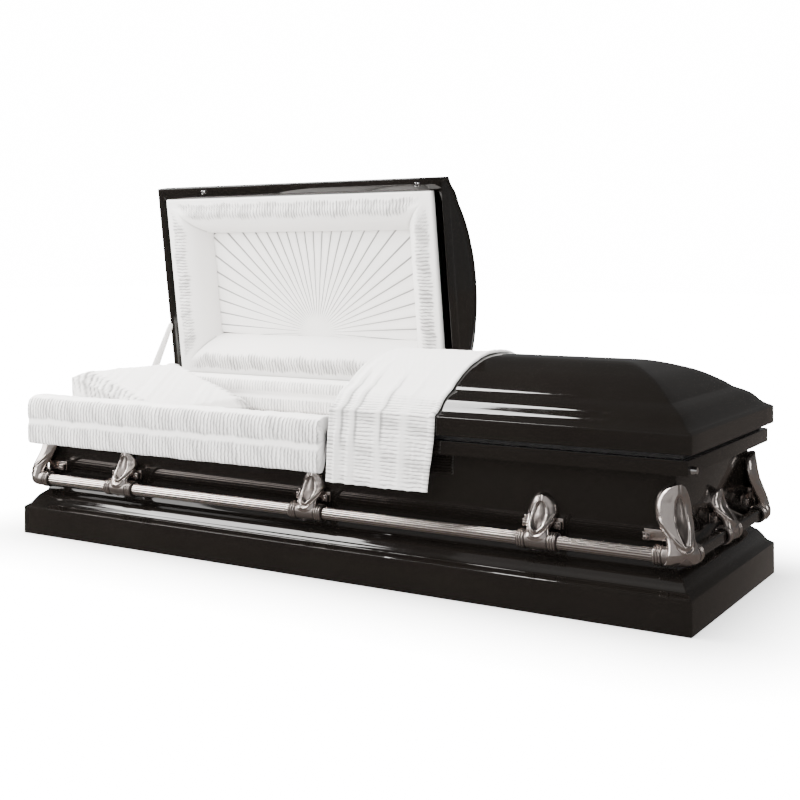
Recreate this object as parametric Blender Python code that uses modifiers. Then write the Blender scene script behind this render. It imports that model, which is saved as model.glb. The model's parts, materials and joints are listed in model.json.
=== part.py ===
"""A half-couch steel casket with a split hinged lid, bar handles and a cloth interior.

Metres, +Z up. X runs along the casket with the foot end at +X, the front is -Y, and the
origin is the middle of the underside. The head lid stands open and the foot lid is closed.
"""

import bpy
import bmesh
from math import atan2, cos, hypot, pi, radians, sin, sqrt
from mathutils import Matrix, Vector

# Overall body
CASKET_LENGTH = 2.134
CASKET_WIDTH = 0.700
SHEET = 0.0012
GAP = 0.0003

# Base moulding and walls
BASE_OVERHANG = 0.056
BASE_FACE_HEIGHT = 0.0825
BASE_COVE_TOP = 0.150
BASE_FOOT_TURN = 0.025
OGEE_HOLLOW_END = (0.55, 0.45)
OGEE_SHOULDER_END = (0.12, 0.74)
OGEE_BOW = 0.0035
OGEE_NECK_BOW = 0.0016

# Top flange of the body and the rubber gasket on it
FLANGE_OVERHANG = 0.042
FLANGE_BOTTOM = 0.357
FLANGE_TOP = 0.393
FLANGE_TURN_IN = 0.014
GASKET_SETBACK = 0.0175
GASKET_WIDTH = 0.0075

# Lids
LID_OVERHANG = 0.0545
LID_BOTTOM = 0.407
LID_RIM_HEIGHT = 0.046
LID_RIM_INSET = 0.003
LID_RIM_STEP = 0.004
LID_LIP = 0.038
LID_COVE_REACH = 0.038
LID_COVE_RISE = 0.0725
LID_ROLL_REACH = 0.0945
LID_ROLL_RISE = 0.104
LID_COVE_BOW = 0.0038
LID_ROLL_BOW = 0.0040
LID_CROWN_STEPS = 9
LID_HEIGHT = 0.184
HIP_RATIO = 0.875
HEAD_LID_CUT = 0.0836
LID_SPLIT_GAP = 0.0044
LID_OPEN_ANGLE = radians(82)

# Lid hinges
HINGE_OUT = 0.0045
HINGE_DROP = 0.002
KNUCKLE_RADIUS = 0.0038
HINGE_LEAF_LENGTH = 0.045
HINGE_LEAF_THICKNESS = 0.002
HINGE_INSET = 0.19
HINGE_SHELF = 0.003
BODY_LEAF_MARGIN = 0.002
LID_LEAF_MARGIN = 0.004

# Latch strikes on the head lid and the lock plug on the foot end
STRIKE_X = (-0.856, -0.002)
STRIKE_SETBACK = 0.0175
STRIKE_WIDTH = 0.017
STRIKE_HEIGHT = 0.004
STRIKE_WAIST = 0.45
PLUG_RADIUS = 0.010
PLUG_LENGTH = 0.013
PLUG_SETBACK = 0.028
PLUG_RAISE = 0.0115
PLUG_TAPER = 0.8

# Bar handles
BAR_HEIGHT = 0.171
BAR_STANDOFF = 0.0325
BAR_RADIUS = 0.0165
BAR_REEDS = 14
REED_DEPTH = 0.0012
END_BAR_THICKNESS = 0.026
SLEEVE_RADIUS = 0.0235
SLEEVE_LENGTH = 0.104
SLEEVE_RING = 0.0015
SLEEVE_COLLAR = 0.018
SLEEVE_STEP = 0.002
SLEEVE_PLAY = 0.001
BORE_CLEARANCE = 0.0006
ARM_CORNER_DISTANCE = 0.331
ARM_TOP = 0.278
ARM_HALF_WIDTH = 0.0375
ARM_CREST_STANDOFF = 0.0195
ARM_THICKNESS = 0.016
ARM_FOOT = 0.158
ARM_BEND_START = 0.184
ARM_BEND_END = 0.250
SPOON_ROUND = 1.15
SPOON_WAIST = 0.55
SPOON_BOW = 0.55
SPOON_BACK = 0.7
SPOON_TIP = 0.02
SPOON_SIDES = 7
CORNER_TOP = 0.333
CORNER_HALF_WIDTH = 0.044
CORNER_LEG = 0.040
CORNER_BEND_RADIUS = 0.030
CORNER_SOCKET = 0.022
NECK_REACH = 0.045
CORNER_NECK_REACH = 0.012
LUG_BOTTOM = 0.197
LUG_TOP = 0.223
LUG_PLATE = 0.003
LUG_MARGIN = 0.001
LUG_HALF_LENGTH = 0.052
LUG_EAR = 0.018
LUG_EAR_STANDOFF = 0.017
CORNER_LUG_LEG = 0.075
NECK_HALF_WIDTH = 0.020

# Interior
LINING_THICKNESS = 0.014
LINING_BOTTOM = 0.120
LINING_TURN_OUT = 0.0135
LINING_TURN_THICKNESS = 0.007
BED_TOP = 0.330
MATTRESS_THICKNESS = 0.110
MATTRESS_CLEARANCE = 0.006
MATTRESS_ROUND = 0.012
BED_BOARD_THICKNESS = 0.018
BEARER_WIDTH = 0.050
BEARER_INSET = 0.250
LINING_SWELL = 0.006
LINING_SWELL_FOOT = 0.060
LINING_TURN_DROP = 0.002
PILLOW_SIDE_CLEARANCE = 0.039
PILLOW_HEAD_CLEARANCE = 0.012
PILLOW_RUN = 0.360
PILLOW_TOP = 0.520
PILLOW_TOE_THICKNESS = 0.060
PILLOW_ROUND = 0.022
ROLL_HEAD_SETBACK = 0.030
ROLL_FOOT_SETBACK = 0.016
ROLL_BOTTOM = 0.281
ROLL_THICKNESS = 0.032
ROLL_RISE = 0.024
ROLL_TURN_IN = 0.070
ROLL_CLEARANCE = 0.002
ROLL_ROUND = 0.026
ROLL_CHAMFER = 0.008
BACK_ROLL_BOTTOM = 0.350
BACK_ROLL_THICKNESS = 0.012
BACK_ROLL_RISE = 0.048

# Lining of the head lid
LID_LINING_SETBACK = 0.0005
LID_BORDER_WIDTH = 0.130
LID_BORDER_DROP = 0.003
LID_BORDER_BAND = 0.045
LID_BORDER_SLOPE = 0.080
LID_BORDER_PADDING = 0.024
LID_PANEL_RECESS = 0.090
LID_PANEL_THICKNESS = 0.004
LID_PANEL_LAP = 0.012

# Cloth throw over the foot lid
THROW_START = 0.085
THROW_WIDTH = 0.3155
THROW_THICKNESS = 0.004
THROW_CLEARANCE = 0.001
THROW_HEM = 0.264
THROW_BACK_REACH = 0.230
THROW_FLARE = 0.010
THROW_BEND_DROP = 0.030

# Stay that holds the head lid
STAY_RADIUS = 0.006
STAY_FOOT_Y = 0.185
STAY_UP_THE_LID = 0.228
STAY_CLEARANCE = 0.008

WALL_X = CASKET_LENGTH / 2 - BASE_OVERHANG
WALL_Y = CASKET_WIDTH / 2 - BASE_OVERHANG
PILLOW_WIDTH = 2 * (WALL_Y - PILLOW_SIDE_CLEARANCE)
ARM_X = (ARM_CORNER_DISTANCE - WALL_X, 0.0, WALL_X - ARM_CORNER_DISTANCE)
FLANGE_Y = WALL_Y + FLANGE_OVERHANG
FLANGE_X = WALL_X + FLANGE_OVERHANG
LID_X = WALL_X + LID_OVERHANG
LID_Y = WALL_Y + LID_OVERHANG
FOOT_LID_CUT = HEAD_LID_CUT + LID_SPLIT_GAP
HINGE_Y = LID_Y + HINGE_OUT
HINGE_Z = LID_BOTTOM - HINGE_DROP
BAR_X = WALL_X + BAR_STANDOFF
BAR_Y = WALL_Y + BAR_STANDOFF
BORE_SIDES = 10

PARTS = "funeral_casket"
CUTTERS = "cutters"


def clear_scene():
    """Empty the scene, so that a second run gives the same result."""
    for item in list(bpy.data.objects):
        bpy.data.objects.remove(item, do_unlink=True)
    for name in (PARTS, CUTTERS):
        old = bpy.data.collections.get(name)
        if old:
            bpy.data.collections.remove(old)
        bpy.context.scene.collection.children.link(bpy.data.collections.new(name))


def make_material(name, colour, metallic, roughness):
    """A plain Principled material."""
    material = bpy.data.materials.new(name)
    material.use_nodes = True
    shader = material.node_tree.nodes["Principled BSDF"]
    shader.inputs["Base Color"].default_value = (*colour, 1.0)
    shader.inputs["Metallic"].default_value = metallic
    shader.inputs["Roughness"].default_value = roughness
    return material


def make_materials():
    """The finishes of the casket."""
    return {
        "paint": make_material("gloss_black_paint", (0.012, 0.011, 0.010), 0.3, 0.15),
        "pewter": make_material("antique_pewter", (0.52, 0.48, 0.46), 1.0, 0.25),
        "chrome": make_material("chrome", (0.80, 0.80, 0.80), 1.0, 0.10),
        "steel": make_material("plain_steel", (0.35, 0.35, 0.36), 1.0, 0.45),
        "rubber": make_material("black_rubber", (0.015, 0.015, 0.015), 0.0, 0.80),
        "crepe": make_material("white_crepe", (0.86, 0.85, 0.84), 0.0, 0.85),
    }


def place(item, material, parent=None):
    """Put an object in the parts collection with its material, under an empty if it moves."""
    bpy.data.collections[PARTS].objects.link(item)
    item.data.materials.clear()
    item.data.materials.append(material)
    if parent:
        item.parent = parent
        item.matrix_parent_inverse = Matrix.Translation(parent["pivot"]).inverted()
    return item


def object_from(bm, name, closed=True, flipped=False):
    """Turn a bmesh into a new object. A closed solid's faces are made to point out."""
    if closed:
        bmesh.ops.recalc_face_normals(bm, faces=bm.faces)
    if flipped:
        bmesh.ops.reverse_faces(bm, faces=bm.faces)
    mesh = bpy.data.meshes.new(name)
    bm.to_mesh(mesh)
    bm.free()
    return bpy.data.objects.new(name, mesh)


def box_bmesh(low, high):
    """A box between two corners."""
    bm = bmesh.new()
    bmesh.ops.create_cube(bm, size=1.0)
    size = Vector(high) - Vector(low)
    middle = (Vector(high) + Vector(low)) / 2
    bmesh.ops.scale(bm, vec=size, verts=bm.verts)
    bmesh.ops.translate(bm, vec=middle, verts=bm.verts)
    return bm


def bevel(item, width, segments=2):
    """Round the edges of an object."""
    modifier = item.modifiers.new("round", "BEVEL")
    modifier.width = width
    modifier.segments = segments
    modifier.limit_method = "ANGLE"
    return item


def thicken(item, thickness):
    """Give an open sheet its thickness, on the side away from its normals."""
    modifier = item.modifiers.new("sheet", "SOLIDIFY")
    modifier.thickness = thickness
    modifier.offset = -1.0
    modifier.use_even_offset = True
    modifier.use_quality_normals = True
    return item


def outline_object(name, points, thickness):
    """A flat outline in its own XY plane, extruded by its thickness about that plane."""
    curve = bpy.data.curves.new(name, "CURVE")
    curve.dimensions = "2D"
    curve.fill_mode = "BOTH"
    curve.extrude = thickness / 2
    spline = curve.splines.new("POLY")
    spline.points.add(len(points) - 1)
    for point, (across, up) in zip(spline.points, points):
        point.co = (across, up, 0.0, 1.0)
    spline.use_cyclic_u = True
    return bpy.data.objects.new(name, curve)


def profile_along_x(name, points, low, high):
    """A (y, z) outline that runs along X between two stations."""
    item = outline_object(name, points, high - low)
    item.rotation_euler = (pi / 2, 0.0, pi / 2)
    item.location = ((low + high) / 2, 0.0, 0.0)
    return item


def arc(start, end, sagitta, steps):
    """Points of a shallow arc after its start; a positive sagitta bows up."""
    dx, dz = end[0] - start[0], end[1] - start[1]
    chord = hypot(dx, dz)
    radius = (chord * chord / 4 + sagitta * sagitta) / (2 * abs(sagitta))
    side = 1 if sagitta > 0 else -1
    sink = radius - abs(sagitta)
    centre = ((start[0] + end[0]) / 2 + side * dz / chord * sink,
              (start[1] + end[1]) / 2 - side * dx / chord * sink)
    first = atan2(start[1] - centre[1], start[0] - centre[0])
    last = atan2(end[1] - centre[1], end[0] - centre[0])
    turn = (last - first + pi) % (2 * pi) - pi
    angles = (first + turn * step / steps for step in range(1, steps + 1))
    return [(centre[0] + radius * cos(a), centre[1] + radius * sin(a)) for a in angles]


def ring_bmesh(profile, low, high, closed):
    """Sweep a profile round a rectangle with mitred corners.

    The profile holds (out, z) pairs, where out is the distance outside the rectangle.
    A closed profile gives a solid ring and an open one gives a sheet.
    """
    bm = bmesh.new()
    rows = []
    for out, z in profile:
        corners = ((low[0] - out, low[1] - out), (high[0] + out, low[1] - out),
                   (high[0] + out, high[1] + out), (low[0] - out, high[1] + out))
        rows.append([bm.verts.new((x, y, z)) for x, y in corners])
    count = len(rows) if closed else len(rows) - 1
    for index in range(count):
        row = rows[index]
        following = rows[(index + 1) % len(rows)]
        for corner in range(4):
            after = (corner + 1) % 4
            bm.faces.new((row[corner], row[after], following[after], following[corner]))
    return bm


def wall_ring(name, profile, closed):
    """A profile swept round the body's wall line."""
    bm = ring_bmesh(profile, (-WALL_X, -WALL_Y), (WALL_X, WALL_Y), closed)
    return object_from(bm, name, closed)


def base_outline():
    """The outer profile of the base, from its turned-in foot to the top of its cove."""
    face = (BASE_OVERHANG, BASE_FACE_HEIGHT)
    ogee_height = BASE_COVE_TOP - BASE_FACE_HEIGHT
    hollow_end, shoulder_end = ((BASE_OVERHANG * out, BASE_FACE_HEIGHT + ogee_height * up)
                                for out, up in (OGEE_HOLLOW_END, OGEE_SHOULDER_END))
    neck = (SHEET + GAP, BASE_COVE_TOP)
    points = [(BASE_OVERHANG - BASE_FOOT_TURN, 0.0), (BASE_OVERHANG, 0.0), face]
    points += arc(face, hollow_end, -OGEE_BOW, 4)
    points += arc(hollow_end, shoulder_end, OGEE_BOW, 4)
    points += arc(shoulder_end, neck, -OGEE_NECK_BOW, 2)
    return points


def build_body(finish):
    """The sheet-metal body: walls with their flange, base moulding, bottom pan and gasket."""
    walls = wall_ring("body_shell", [
        (0.0, 0.0), (0.0, FLANGE_BOTTOM), (FLANGE_OVERHANG, FLANGE_BOTTOM),
        (FLANGE_OVERHANG, FLANGE_TOP), (-FLANGE_TURN_IN, FLANGE_TOP)], closed=False)
    place(thicken(walls, SHEET), finish["paint"])
    base = wall_ring("base_moulding", base_outline(), closed=False)
    place(thicken(base, SHEET), finish["paint"])
    edge = SHEET + GAP
    pan = object_from(box_bmesh((-WALL_X + edge, -WALL_Y + edge, 0.0),
                                (WALL_X - edge, WALL_Y - edge, SHEET)), "bottom_pan")
    place(pan, finish["paint"])
    near = FLANGE_OVERHANG - GASKET_SETBACK
    low, high = FLANGE_TOP + GAP, LID_BOTTOM - GAP
    gasket = wall_ring("gasket", [
        (near, low), (near, high), (near - GASKET_WIDTH, high), (near - GASKET_WIDTH, low)],
        closed=True)
    place(gasket, finish["rubber"])


def lid_profile():
    """Pairs of (distance in from the rim, height over the rim's bottom), up to the ridge."""
    rim_top = (0.0, LID_RIM_HEIGHT)
    cove_start = (LID_RIM_INSET, LID_RIM_HEIGHT + LID_RIM_STEP)
    cove_end = (LID_COVE_REACH, LID_COVE_RISE)
    roll_end = (LID_ROLL_REACH, LID_ROLL_RISE)
    crown_reach = LID_Y - LID_ROLL_REACH
    crown_rise = LID_HEIGHT - LID_ROLL_RISE
    crown_radius = (crown_reach ** 2 + crown_rise ** 2) / (2 * crown_rise)
    points = [rim_top, cove_start]
    points += arc(cove_start, cove_end, -LID_COVE_BOW, 4)
    points += arc(cove_end, roll_end, LID_ROLL_BOW, 4)
    for step in range(1, LID_CROWN_STEPS + 1):
        inward = LID_ROLL_REACH + crown_reach * step / LID_CROWN_STEPS
        drop = crown_radius - sqrt(crown_radius ** 2 - (LID_Y - inward) ** 2)
        points.append((inward, LID_HEIGHT - drop))
    return points


def lid_sheet(name, cut, end):
    """The pressed top of one lid: a long arch with a hipped end, open below and at its cut."""
    toward = 1 if end > cut else -1
    bm = bmesh.new()
    rows = []
    for inward, rise in [(LID_LIP, 0.0), (0.0, 0.0)] + lid_profile():
        side = max(LID_Y - inward, 0.0)
        hip = end - toward * HIP_RATIO * inward
        z = LID_BOTTOM + rise
        if side == 0.0:
            places = ((cut, 0.0), (hip, 0.0))
        else:
            places = ((cut, -side), (hip, -side), (hip, side), (cut, side))
        rows.append([bm.verts.new((x, y, z)) for x, y in places])
    for row, following in zip(rows[:-2], rows[1:-1]):
        for index in range(3):
            bm.faces.new((row[index], row[index + 1], following[index + 1], following[index]))
    below, ridge = rows[-2], rows[-1]
    bm.faces.new((below[0], below[1], ridge[1], ridge[0]))
    bm.faces.new((below[1], below[2], ridge[1]))
    bm.faces.new((below[2], below[3], ridge[0], ridge[1]))
    return object_from(bm, name, closed=False, flipped=toward < 0)


def header_sheet(name, cut, toward):
    """The panel that closes a lid's cut end, with its lip turned in under the lid."""
    half = [(LID_Y - inward, LID_BOTTOM + rise) for inward, rise in lid_profile()]
    lip = LID_Y - LID_LIP - GAP
    outline = [(-y, z) for y, z in half] + [(y, z) for y, z in reversed(half[:-1])]
    outline += [(LID_Y, LID_BOTTOM), (lip, LID_BOTTOM), (-lip, LID_BOTTOM), (-LID_Y, LID_BOTTOM)]
    bm = bmesh.new()
    rim = [bm.verts.new((cut, y, z)) for y, z in outline]
    bm.faces.new(rim)
    inner = [bm.verts.new((cut + toward * LID_LIP, y, LID_BOTTOM)) for y in (lip, -lip)]
    bm.faces.new((rim[-3], inner[0], inner[1], rim[-2]))
    return object_from(bm, name, closed=False, flipped=toward < 0)


def lid_pivot(name, angle):
    """An empty on the hinge line, turned by how far its lid stands open."""
    pivot = bpy.data.objects.new(name, None)
    pivot.location = (0.0, HINGE_Y, HINGE_Z)
    pivot.rotation_euler = (-angle, 0.0, 0.0)
    pivot["pivot"] = (0.0, HINGE_Y, HINGE_Z)
    bpy.data.collections[PARTS].objects.link(pivot)
    return pivot


def build_lids(finish, head, foot):
    """Both lid shells and the panels at their cut ends."""
    for name, pivot, cut, end in (("head_lid", head, HEAD_LID_CUT, -LID_X),
                                  ("foot_lid", foot, FOOT_LID_CUT, LID_X)):
        toward = 1 if end > cut else -1
        shell = lid_sheet(name + "_shell", cut + toward * (SHEET + GAP), end)
        place(thicken(shell, SHEET), finish["paint"], pivot)
        header = header_sheet(name + "_header", cut, toward)
        place(thicken(header, SHEET), finish["paint"], pivot)


def knuckle(start):
    """An eight-sided hinge barrel's outline, from a corner number."""
    turns = [(start + step) * pi / 4 + pi / 8 for step in range(7)]
    return [(HINGE_Y + KNUCKLE_RADIUS * cos(a), HINGE_Z + KNUCKLE_RADIUS * sin(a)) for a in turns]


def build_hinges(finish, head, foot):
    """Two hinges for each lid, each with one leaf on the flange and one on the lid's rim."""
    plate_near = FLANGE_Y + GAP
    plate_far = plate_near + HINGE_LEAF_THICKNESS
    shelf = FLANGE_TOP + HINGE_SHELF
    foot_of_leaf = FLANGE_BOTTOM + BODY_LEAF_MARGIN
    body_leaf = [(plate_near, foot_of_leaf), (plate_far, foot_of_leaf),
                 (plate_far, shelf - HINGE_LEAF_THICKNESS),
                 (HINGE_Y, shelf + HINGE_LEAF_THICKNESS)] + knuckle(6)[1:] + [(plate_near, shelf)]
    lid_near = LID_Y + GAP
    lid_far = lid_near + HINGE_LEAF_THICKNESS
    top = LID_BOTTOM + LID_RIM_HEIGHT - LID_LEAF_MARGIN
    low = HINGE_Z + KNUCKLE_RADIUS * cos(pi / 8)
    lid_leaf = [(lid_near, top), (lid_near, LID_BOTTOM + GAP)] + knuckle(3)[:6] + [(lid_far, low),
                                                                                  (lid_far, top)]
    hinges = (("head", head, -LID_X + HINGE_INSET, 1), ("head", head, HEAD_LID_CUT - HINGE_INSET, 2),
              ("foot", foot, FOOT_LID_CUT + HINGE_INSET, 1), ("foot", foot, LID_X - HINGE_INSET, 2))
    for lid, pivot, x, number in hinges:
        name = f"{lid}_hinge_{number}"
        low_x, high_x = x - HINGE_LEAF_LENGTH, x + HINGE_LEAF_LENGTH
        place(profile_along_x(name + "_body_leaf", body_leaf, low_x, x - GAP), finish["steel"])
        place(profile_along_x(name + "_lid_leaf", lid_leaf, x + GAP, high_x), finish["steel"], pivot)


def build_latches(finish, head):
    """Two small strikes under the free edge of the head lid, and the lock plug."""
    half = STRIKE_WIDTH / 2
    waist = foot = half * STRIKE_WAIST
    outline = [(-half, -half), (half, -half), (half, -half + foot), (waist, -half + foot),
               (waist, half - foot), (half, half - foot), (half, half), (-half, half),
               (-half, half - foot), (-waist, half - foot), (-waist, -half + foot),
               (-half, -half + foot)]
    for number, x in enumerate(STRIKE_X, 1):
        strike = outline_object(f"latch_strike_{number}", outline, STRIKE_HEIGHT)
        strike.location = (x, -LID_Y + STRIKE_SETBACK, LID_BOTTOM - STRIKE_HEIGHT / 2 - GAP)
        place(strike, finish["chrome"], head)
    bm = bmesh.new()
    bmesh.ops.create_cone(bm, cap_ends=True, segments=16, radius1=PLUG_RADIUS,
                          radius2=PLUG_RADIUS * PLUG_TAPER, depth=PLUG_LENGTH)
    bmesh.ops.rotate(bm, verts=bm.verts, matrix=Matrix.Rotation(pi / 2, 3, "Y"))
    plug = object_from(bm, "lock_plug")
    plug.location = (FLANGE_X + GAP + PLUG_LENGTH / 2, -FLANGE_Y + PLUG_SETBACK,
                     FLANGE_BOTTOM + PLUG_RAISE)
    place(plug, finish["chrome"])


def loft(bm, rings, capped):
    """Join closed rings of points into a tube, with its ends filled or joined up."""
    rows = [[bm.verts.new(point) for point in ring] for ring in rings]
    count = len(rows) - 1 if capped else len(rows)
    for index in range(count):
        row, following = rows[index], rows[(index + 1) % len(rows)]
        for side in range(len(row)):
            after = (side + 1) % len(row)
            bm.faces.new((row[side], row[after], following[after], following[side]))
    if capped:
        bm.faces.new(reversed(rows[0]))
        bm.faces.new(rows[-1])
    return bm


def crest(height, top, standoff):
    """How far the spoon of a handle arm stands out from the wall, at a height."""
    bend_end = ARM_BEND_END + (top - ARM_TOP) / 2
    share = min(max((height - ARM_BEND_START) / (bend_end - ARM_BEND_START), 0.0), 1.0)
    ease = share * share * (3 - 2 * share)
    return standoff + (ARM_CREST_STANDOFF - standoff) * ease


def spoon_bmesh(top, half_width, standoff):
    """The rounded spoon of an arm, standing on the bar and leaning back to the wall."""
    widest = top - half_width * SPOON_ROUND
    heights = [ARM_FOOT]
    heights += [ARM_BEND_START + (widest - ARM_BEND_START) * share for share in (0.0, 0.35, 0.7, 1.0)]
    heights += [widest + (top - widest) * share for share in (0.42, 0.72, 0.92, 1.0)]
    rings = []
    for height in heights:
        if height > widest:
            share = (height - widest) / (top - widest)
            across = half_width * sqrt(max(1 - share * share, SPOON_TIP))
        else:
            swell = sin(pi / 2 * (height - ARM_FOOT) / (widest - ARM_FOOT))
            across = half_width * (SPOON_WAIST + (1 - SPOON_WAIST) * swell)
        front = crest(height, top, standoff)
        back = front - ARM_THICKNESS
        bow = (front - back) * SPOON_BOW
        ring = []
        for step in range(SPOON_SIDES):
            turn = -pi / 2 + pi * step / (SPOON_SIDES - 1)
            ring.append((across * sin(turn), -(front - bow + bow * cos(turn)), height))
        ring.append((across * SPOON_BACK, -back, height))
        ring.append((-across * SPOON_BACK, -back, height))
        rings.append(ring)
    return loft(bmesh.new(), rings, capped=True)


def circle(centre, along, radius, sides=BORE_SIDES):
    """A ring of points round an axis that lies level."""
    along = Vector(along).normalized()
    across = along.cross(Vector((0.0, 0.0, 1.0)))
    up = Vector((0.0, 0.0, 1.0))
    turns = [2 * pi * (step + 0.5) / sides for step in range(sides)]
    return [Vector(centre) + radius * (cos(t) * across + sin(t) * up) for t in turns]


def sleeve_stations():
    """Pairs of (place along the sleeve from its mouth, radius), with a collar at the mouth."""
    waist = SLEEVE_RADIUS - SLEEVE_RING
    return [(0.0, SLEEVE_RADIUS), (SLEEVE_COLLAR, SLEEVE_RADIUS), (SLEEVE_COLLAR + SLEEVE_STEP, waist)]


def straight_sleeve():
    """The sleeve of a straight arm, solid until its bore is cut."""
    half = SLEEVE_LENGTH / 2
    stations = [(-half + along, radius) for along, radius in sleeve_stations()]
    stations += [(-x, radius) for x, radius in reversed(stations)]
    rings = [circle((x, -BAR_STANDOFF, BAR_HEIGHT), (1, 0, 0), r) for x, r in stations]
    return loft(bmesh.new(), rings, capped=True)


def elbow_sleeve():
    """The sleeve of a corner, which turns from one bar to the next."""
    straight = CORNER_LEG + BAR_STANDOFF - CORNER_BEND_RADIUS
    first = [((-CORNER_LEG + along, BAR_STANDOFF), (1, 0), radius)
             for along, radius in sleeve_stations()]
    middle = BAR_STANDOFF - CORNER_BEND_RADIUS
    waist = SLEEVE_RADIUS - SLEEVE_RING
    first.append(((-CORNER_LEG + straight, BAR_STANDOFF), (1, 0), waist))
    bend = []
    for step in range(1, 5):
        turn = pi / 2 * step / 5
        spot = (middle + CORNER_BEND_RADIUS * sin(turn), middle + CORNER_BEND_RADIUS * cos(turn))
        bend.append((spot, (cos(turn), -sin(turn)), waist))
    last = [((b, a), (-ab[1], -ab[0]), radius) for (a, b), ab, radius in reversed(first)]
    rings = [circle((a, b, BAR_HEIGHT), (da, db, 0), radius)
             for (a, b), (da, db), radius in first + bend + last]
    return loft(bmesh.new(), rings, capped=True)


def bore(centre, along, length):
    """A cutter that clears the bar, closed at both ends."""
    radius = (BAR_RADIUS + BORE_CLEARANCE) / cos(pi / BORE_SIDES)
    start = Vector(centre) - Vector(along) * length / 2
    finish = Vector(centre) + Vector(along) * length / 2
    return loft(bmesh.new(), [circle(start, along, radius), circle(finish, along, radius)],
                capped=True)


def combine(name, first, steps):
    """Add solids to a first one and cut others from it, and return the finished mesh."""
    base = object_from(first, name)
    bpy.data.collections[CUTTERS].objects.link(base)
    helpers = [base]
    for number, (operation, bm) in enumerate(steps):
        helper = object_from(bm, f"{name}_{operation.lower()}_{number}")
        bpy.data.collections[CUTTERS].objects.link(helper)
        helpers.append(helper)
        modifier = base.modifiers.new(operation.lower(), "BOOLEAN")
        modifier.operation = operation
        modifier.object = helper
    for helper in helpers:
        helper.hide_render = True
        helper.display_type = "WIRE"
    graph = bpy.context.evaluated_depsgraph_get()
    return bpy.data.meshes.new_from_object(base.evaluated_get(graph))


def arm_mesh():
    """A straight arm: spoon, sleeve with its bore, and the neck that meets the lug."""
    neck = box_bmesh((-NECK_HALF_WIDTH, -NECK_REACH, LUG_BOTTOM + 2 * LUG_MARGIN),
                     (NECK_HALF_WIDTH, -LUG_PLATE - GAP, LUG_TOP))
    centre = (0.0, -BAR_STANDOFF, BAR_HEIGHT)
    reach = BAR_STANDOFF + SLEEVE_RADIUS - SLEEVE_RING
    return combine("arm", spoon_bmesh(ARM_TOP, ARM_HALF_WIDTH, reach), [
        ("UNION", straight_sleeve()),
        ("UNION", neck),
        ("DIFFERENCE", bore(centre, (1, 0, 0), SLEEVE_LENGTH * 1.2))])


def corner_mesh():
    """A corner casting: a taller spoon on the diagonal over an elbow with two sockets."""
    turned_in = BAR_STANDOFF * sqrt(2) - CORNER_BEND_RADIUS * (sqrt(2) - 1)
    spoon = spoon_bmesh(CORNER_TOP, CORNER_HALF_WIDTH, turned_in + SLEEVE_RADIUS - SLEEVE_RING)
    neck = box_bmesh((-NECK_HALF_WIDTH, -turned_in - CORNER_NECK_REACH, LUG_BOTTOM + 2 * LUG_MARGIN),
                     (NECK_HALF_WIDTH, -(LUG_PLATE + GAP) * sqrt(2) - NECK_HALF_WIDTH, LUG_TOP))
    diagonal = Matrix.Rotation(3 * pi / 4, 3, "Z")
    for bm in (spoon, neck):
        bmesh.ops.rotate(bm, verts=bm.verts, matrix=diagonal)
    socket = CORNER_SOCKET * 2
    return combine("corner", spoon, [
        ("UNION", elbow_sleeve()),
        ("UNION", neck),
        ("DIFFERENCE", bore((-CORNER_LEG, BAR_STANDOFF, BAR_HEIGHT), (1, 0, 0), socket)),
        ("DIFFERENCE", bore((BAR_STANDOFF, -CORNER_LEG, BAR_HEIGHT), (0, 1, 0), socket))])


def lug_mesh():
    """A wall plate with a square ear at each end, one ear on each side of the arm."""
    plate = box_bmesh((-LUG_HALF_LENGTH, -LUG_PLATE, LUG_BOTTOM), (LUG_HALF_LENGTH, -GAP, LUG_TOP))
    low = LUG_BOTTOM + LUG_MARGIN
    outer = LUG_HALF_LENGTH - LUG_MARGIN
    ears = []
    for left in (-outer, outer - LUG_EAR):
        ears.append(("UNION", box_bmesh((left, -LUG_EAR_STANDOFF, low),
                                        (left + LUG_EAR, -LUG_PLATE / 2, low + LUG_EAR))))
    return combine("lug", plate, ears)


def corner_lug_mesh():
    """Two wall plates that meet round the body's corner, with an ear at each far end."""
    leg = CORNER_LUG_LEG
    first = box_bmesh((-leg, GAP, LUG_BOTTOM), (LUG_PLATE, LUG_PLATE, LUG_TOP))
    second = box_bmesh((GAP, -leg, LUG_BOTTOM), (LUG_PLATE, LUG_PLATE, LUG_TOP))
    low = LUG_BOTTOM + LUG_MARGIN
    high = low + LUG_EAR
    near = -leg + LUG_MARGIN
    far, out = near + LUG_EAR, LUG_EAR_STANDOFF
    return combine("corner_lug", first, [
        ("UNION", second),
        ("UNION", box_bmesh((near, LUG_PLATE / 2, low), (far, out, high))),
        ("UNION", box_bmesh((LUG_PLATE / 2, near, low), (out, far, high)))])


def build_arms(finish):
    """The straight arms and their lugs: three on each long side and one on each end."""
    arm, lug = arm_mesh(), lug_mesh()
    stations = [(f"front_{n}", (x, -WALL_Y), 0.0) for n, x in enumerate(ARM_X, 1)]
    stations += [(f"back_{n}", (x, WALL_Y), pi) for n, x in enumerate(ARM_X, 1)]
    stations += [("foot", (WALL_X, 0.0), pi / 2), ("head", (-WALL_X, 0.0), -pi / 2)]
    for name, spot, turn in stations:
        for kind, mesh in (("arm_", arm), ("lug_", lug)):
            item = bpy.data.objects.new(kind + name, mesh)
            item.location = (*spot, 0.0)
            item.rotation_euler = (0.0, 0.0, turn)
            place(item, finish["pewter"])


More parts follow.
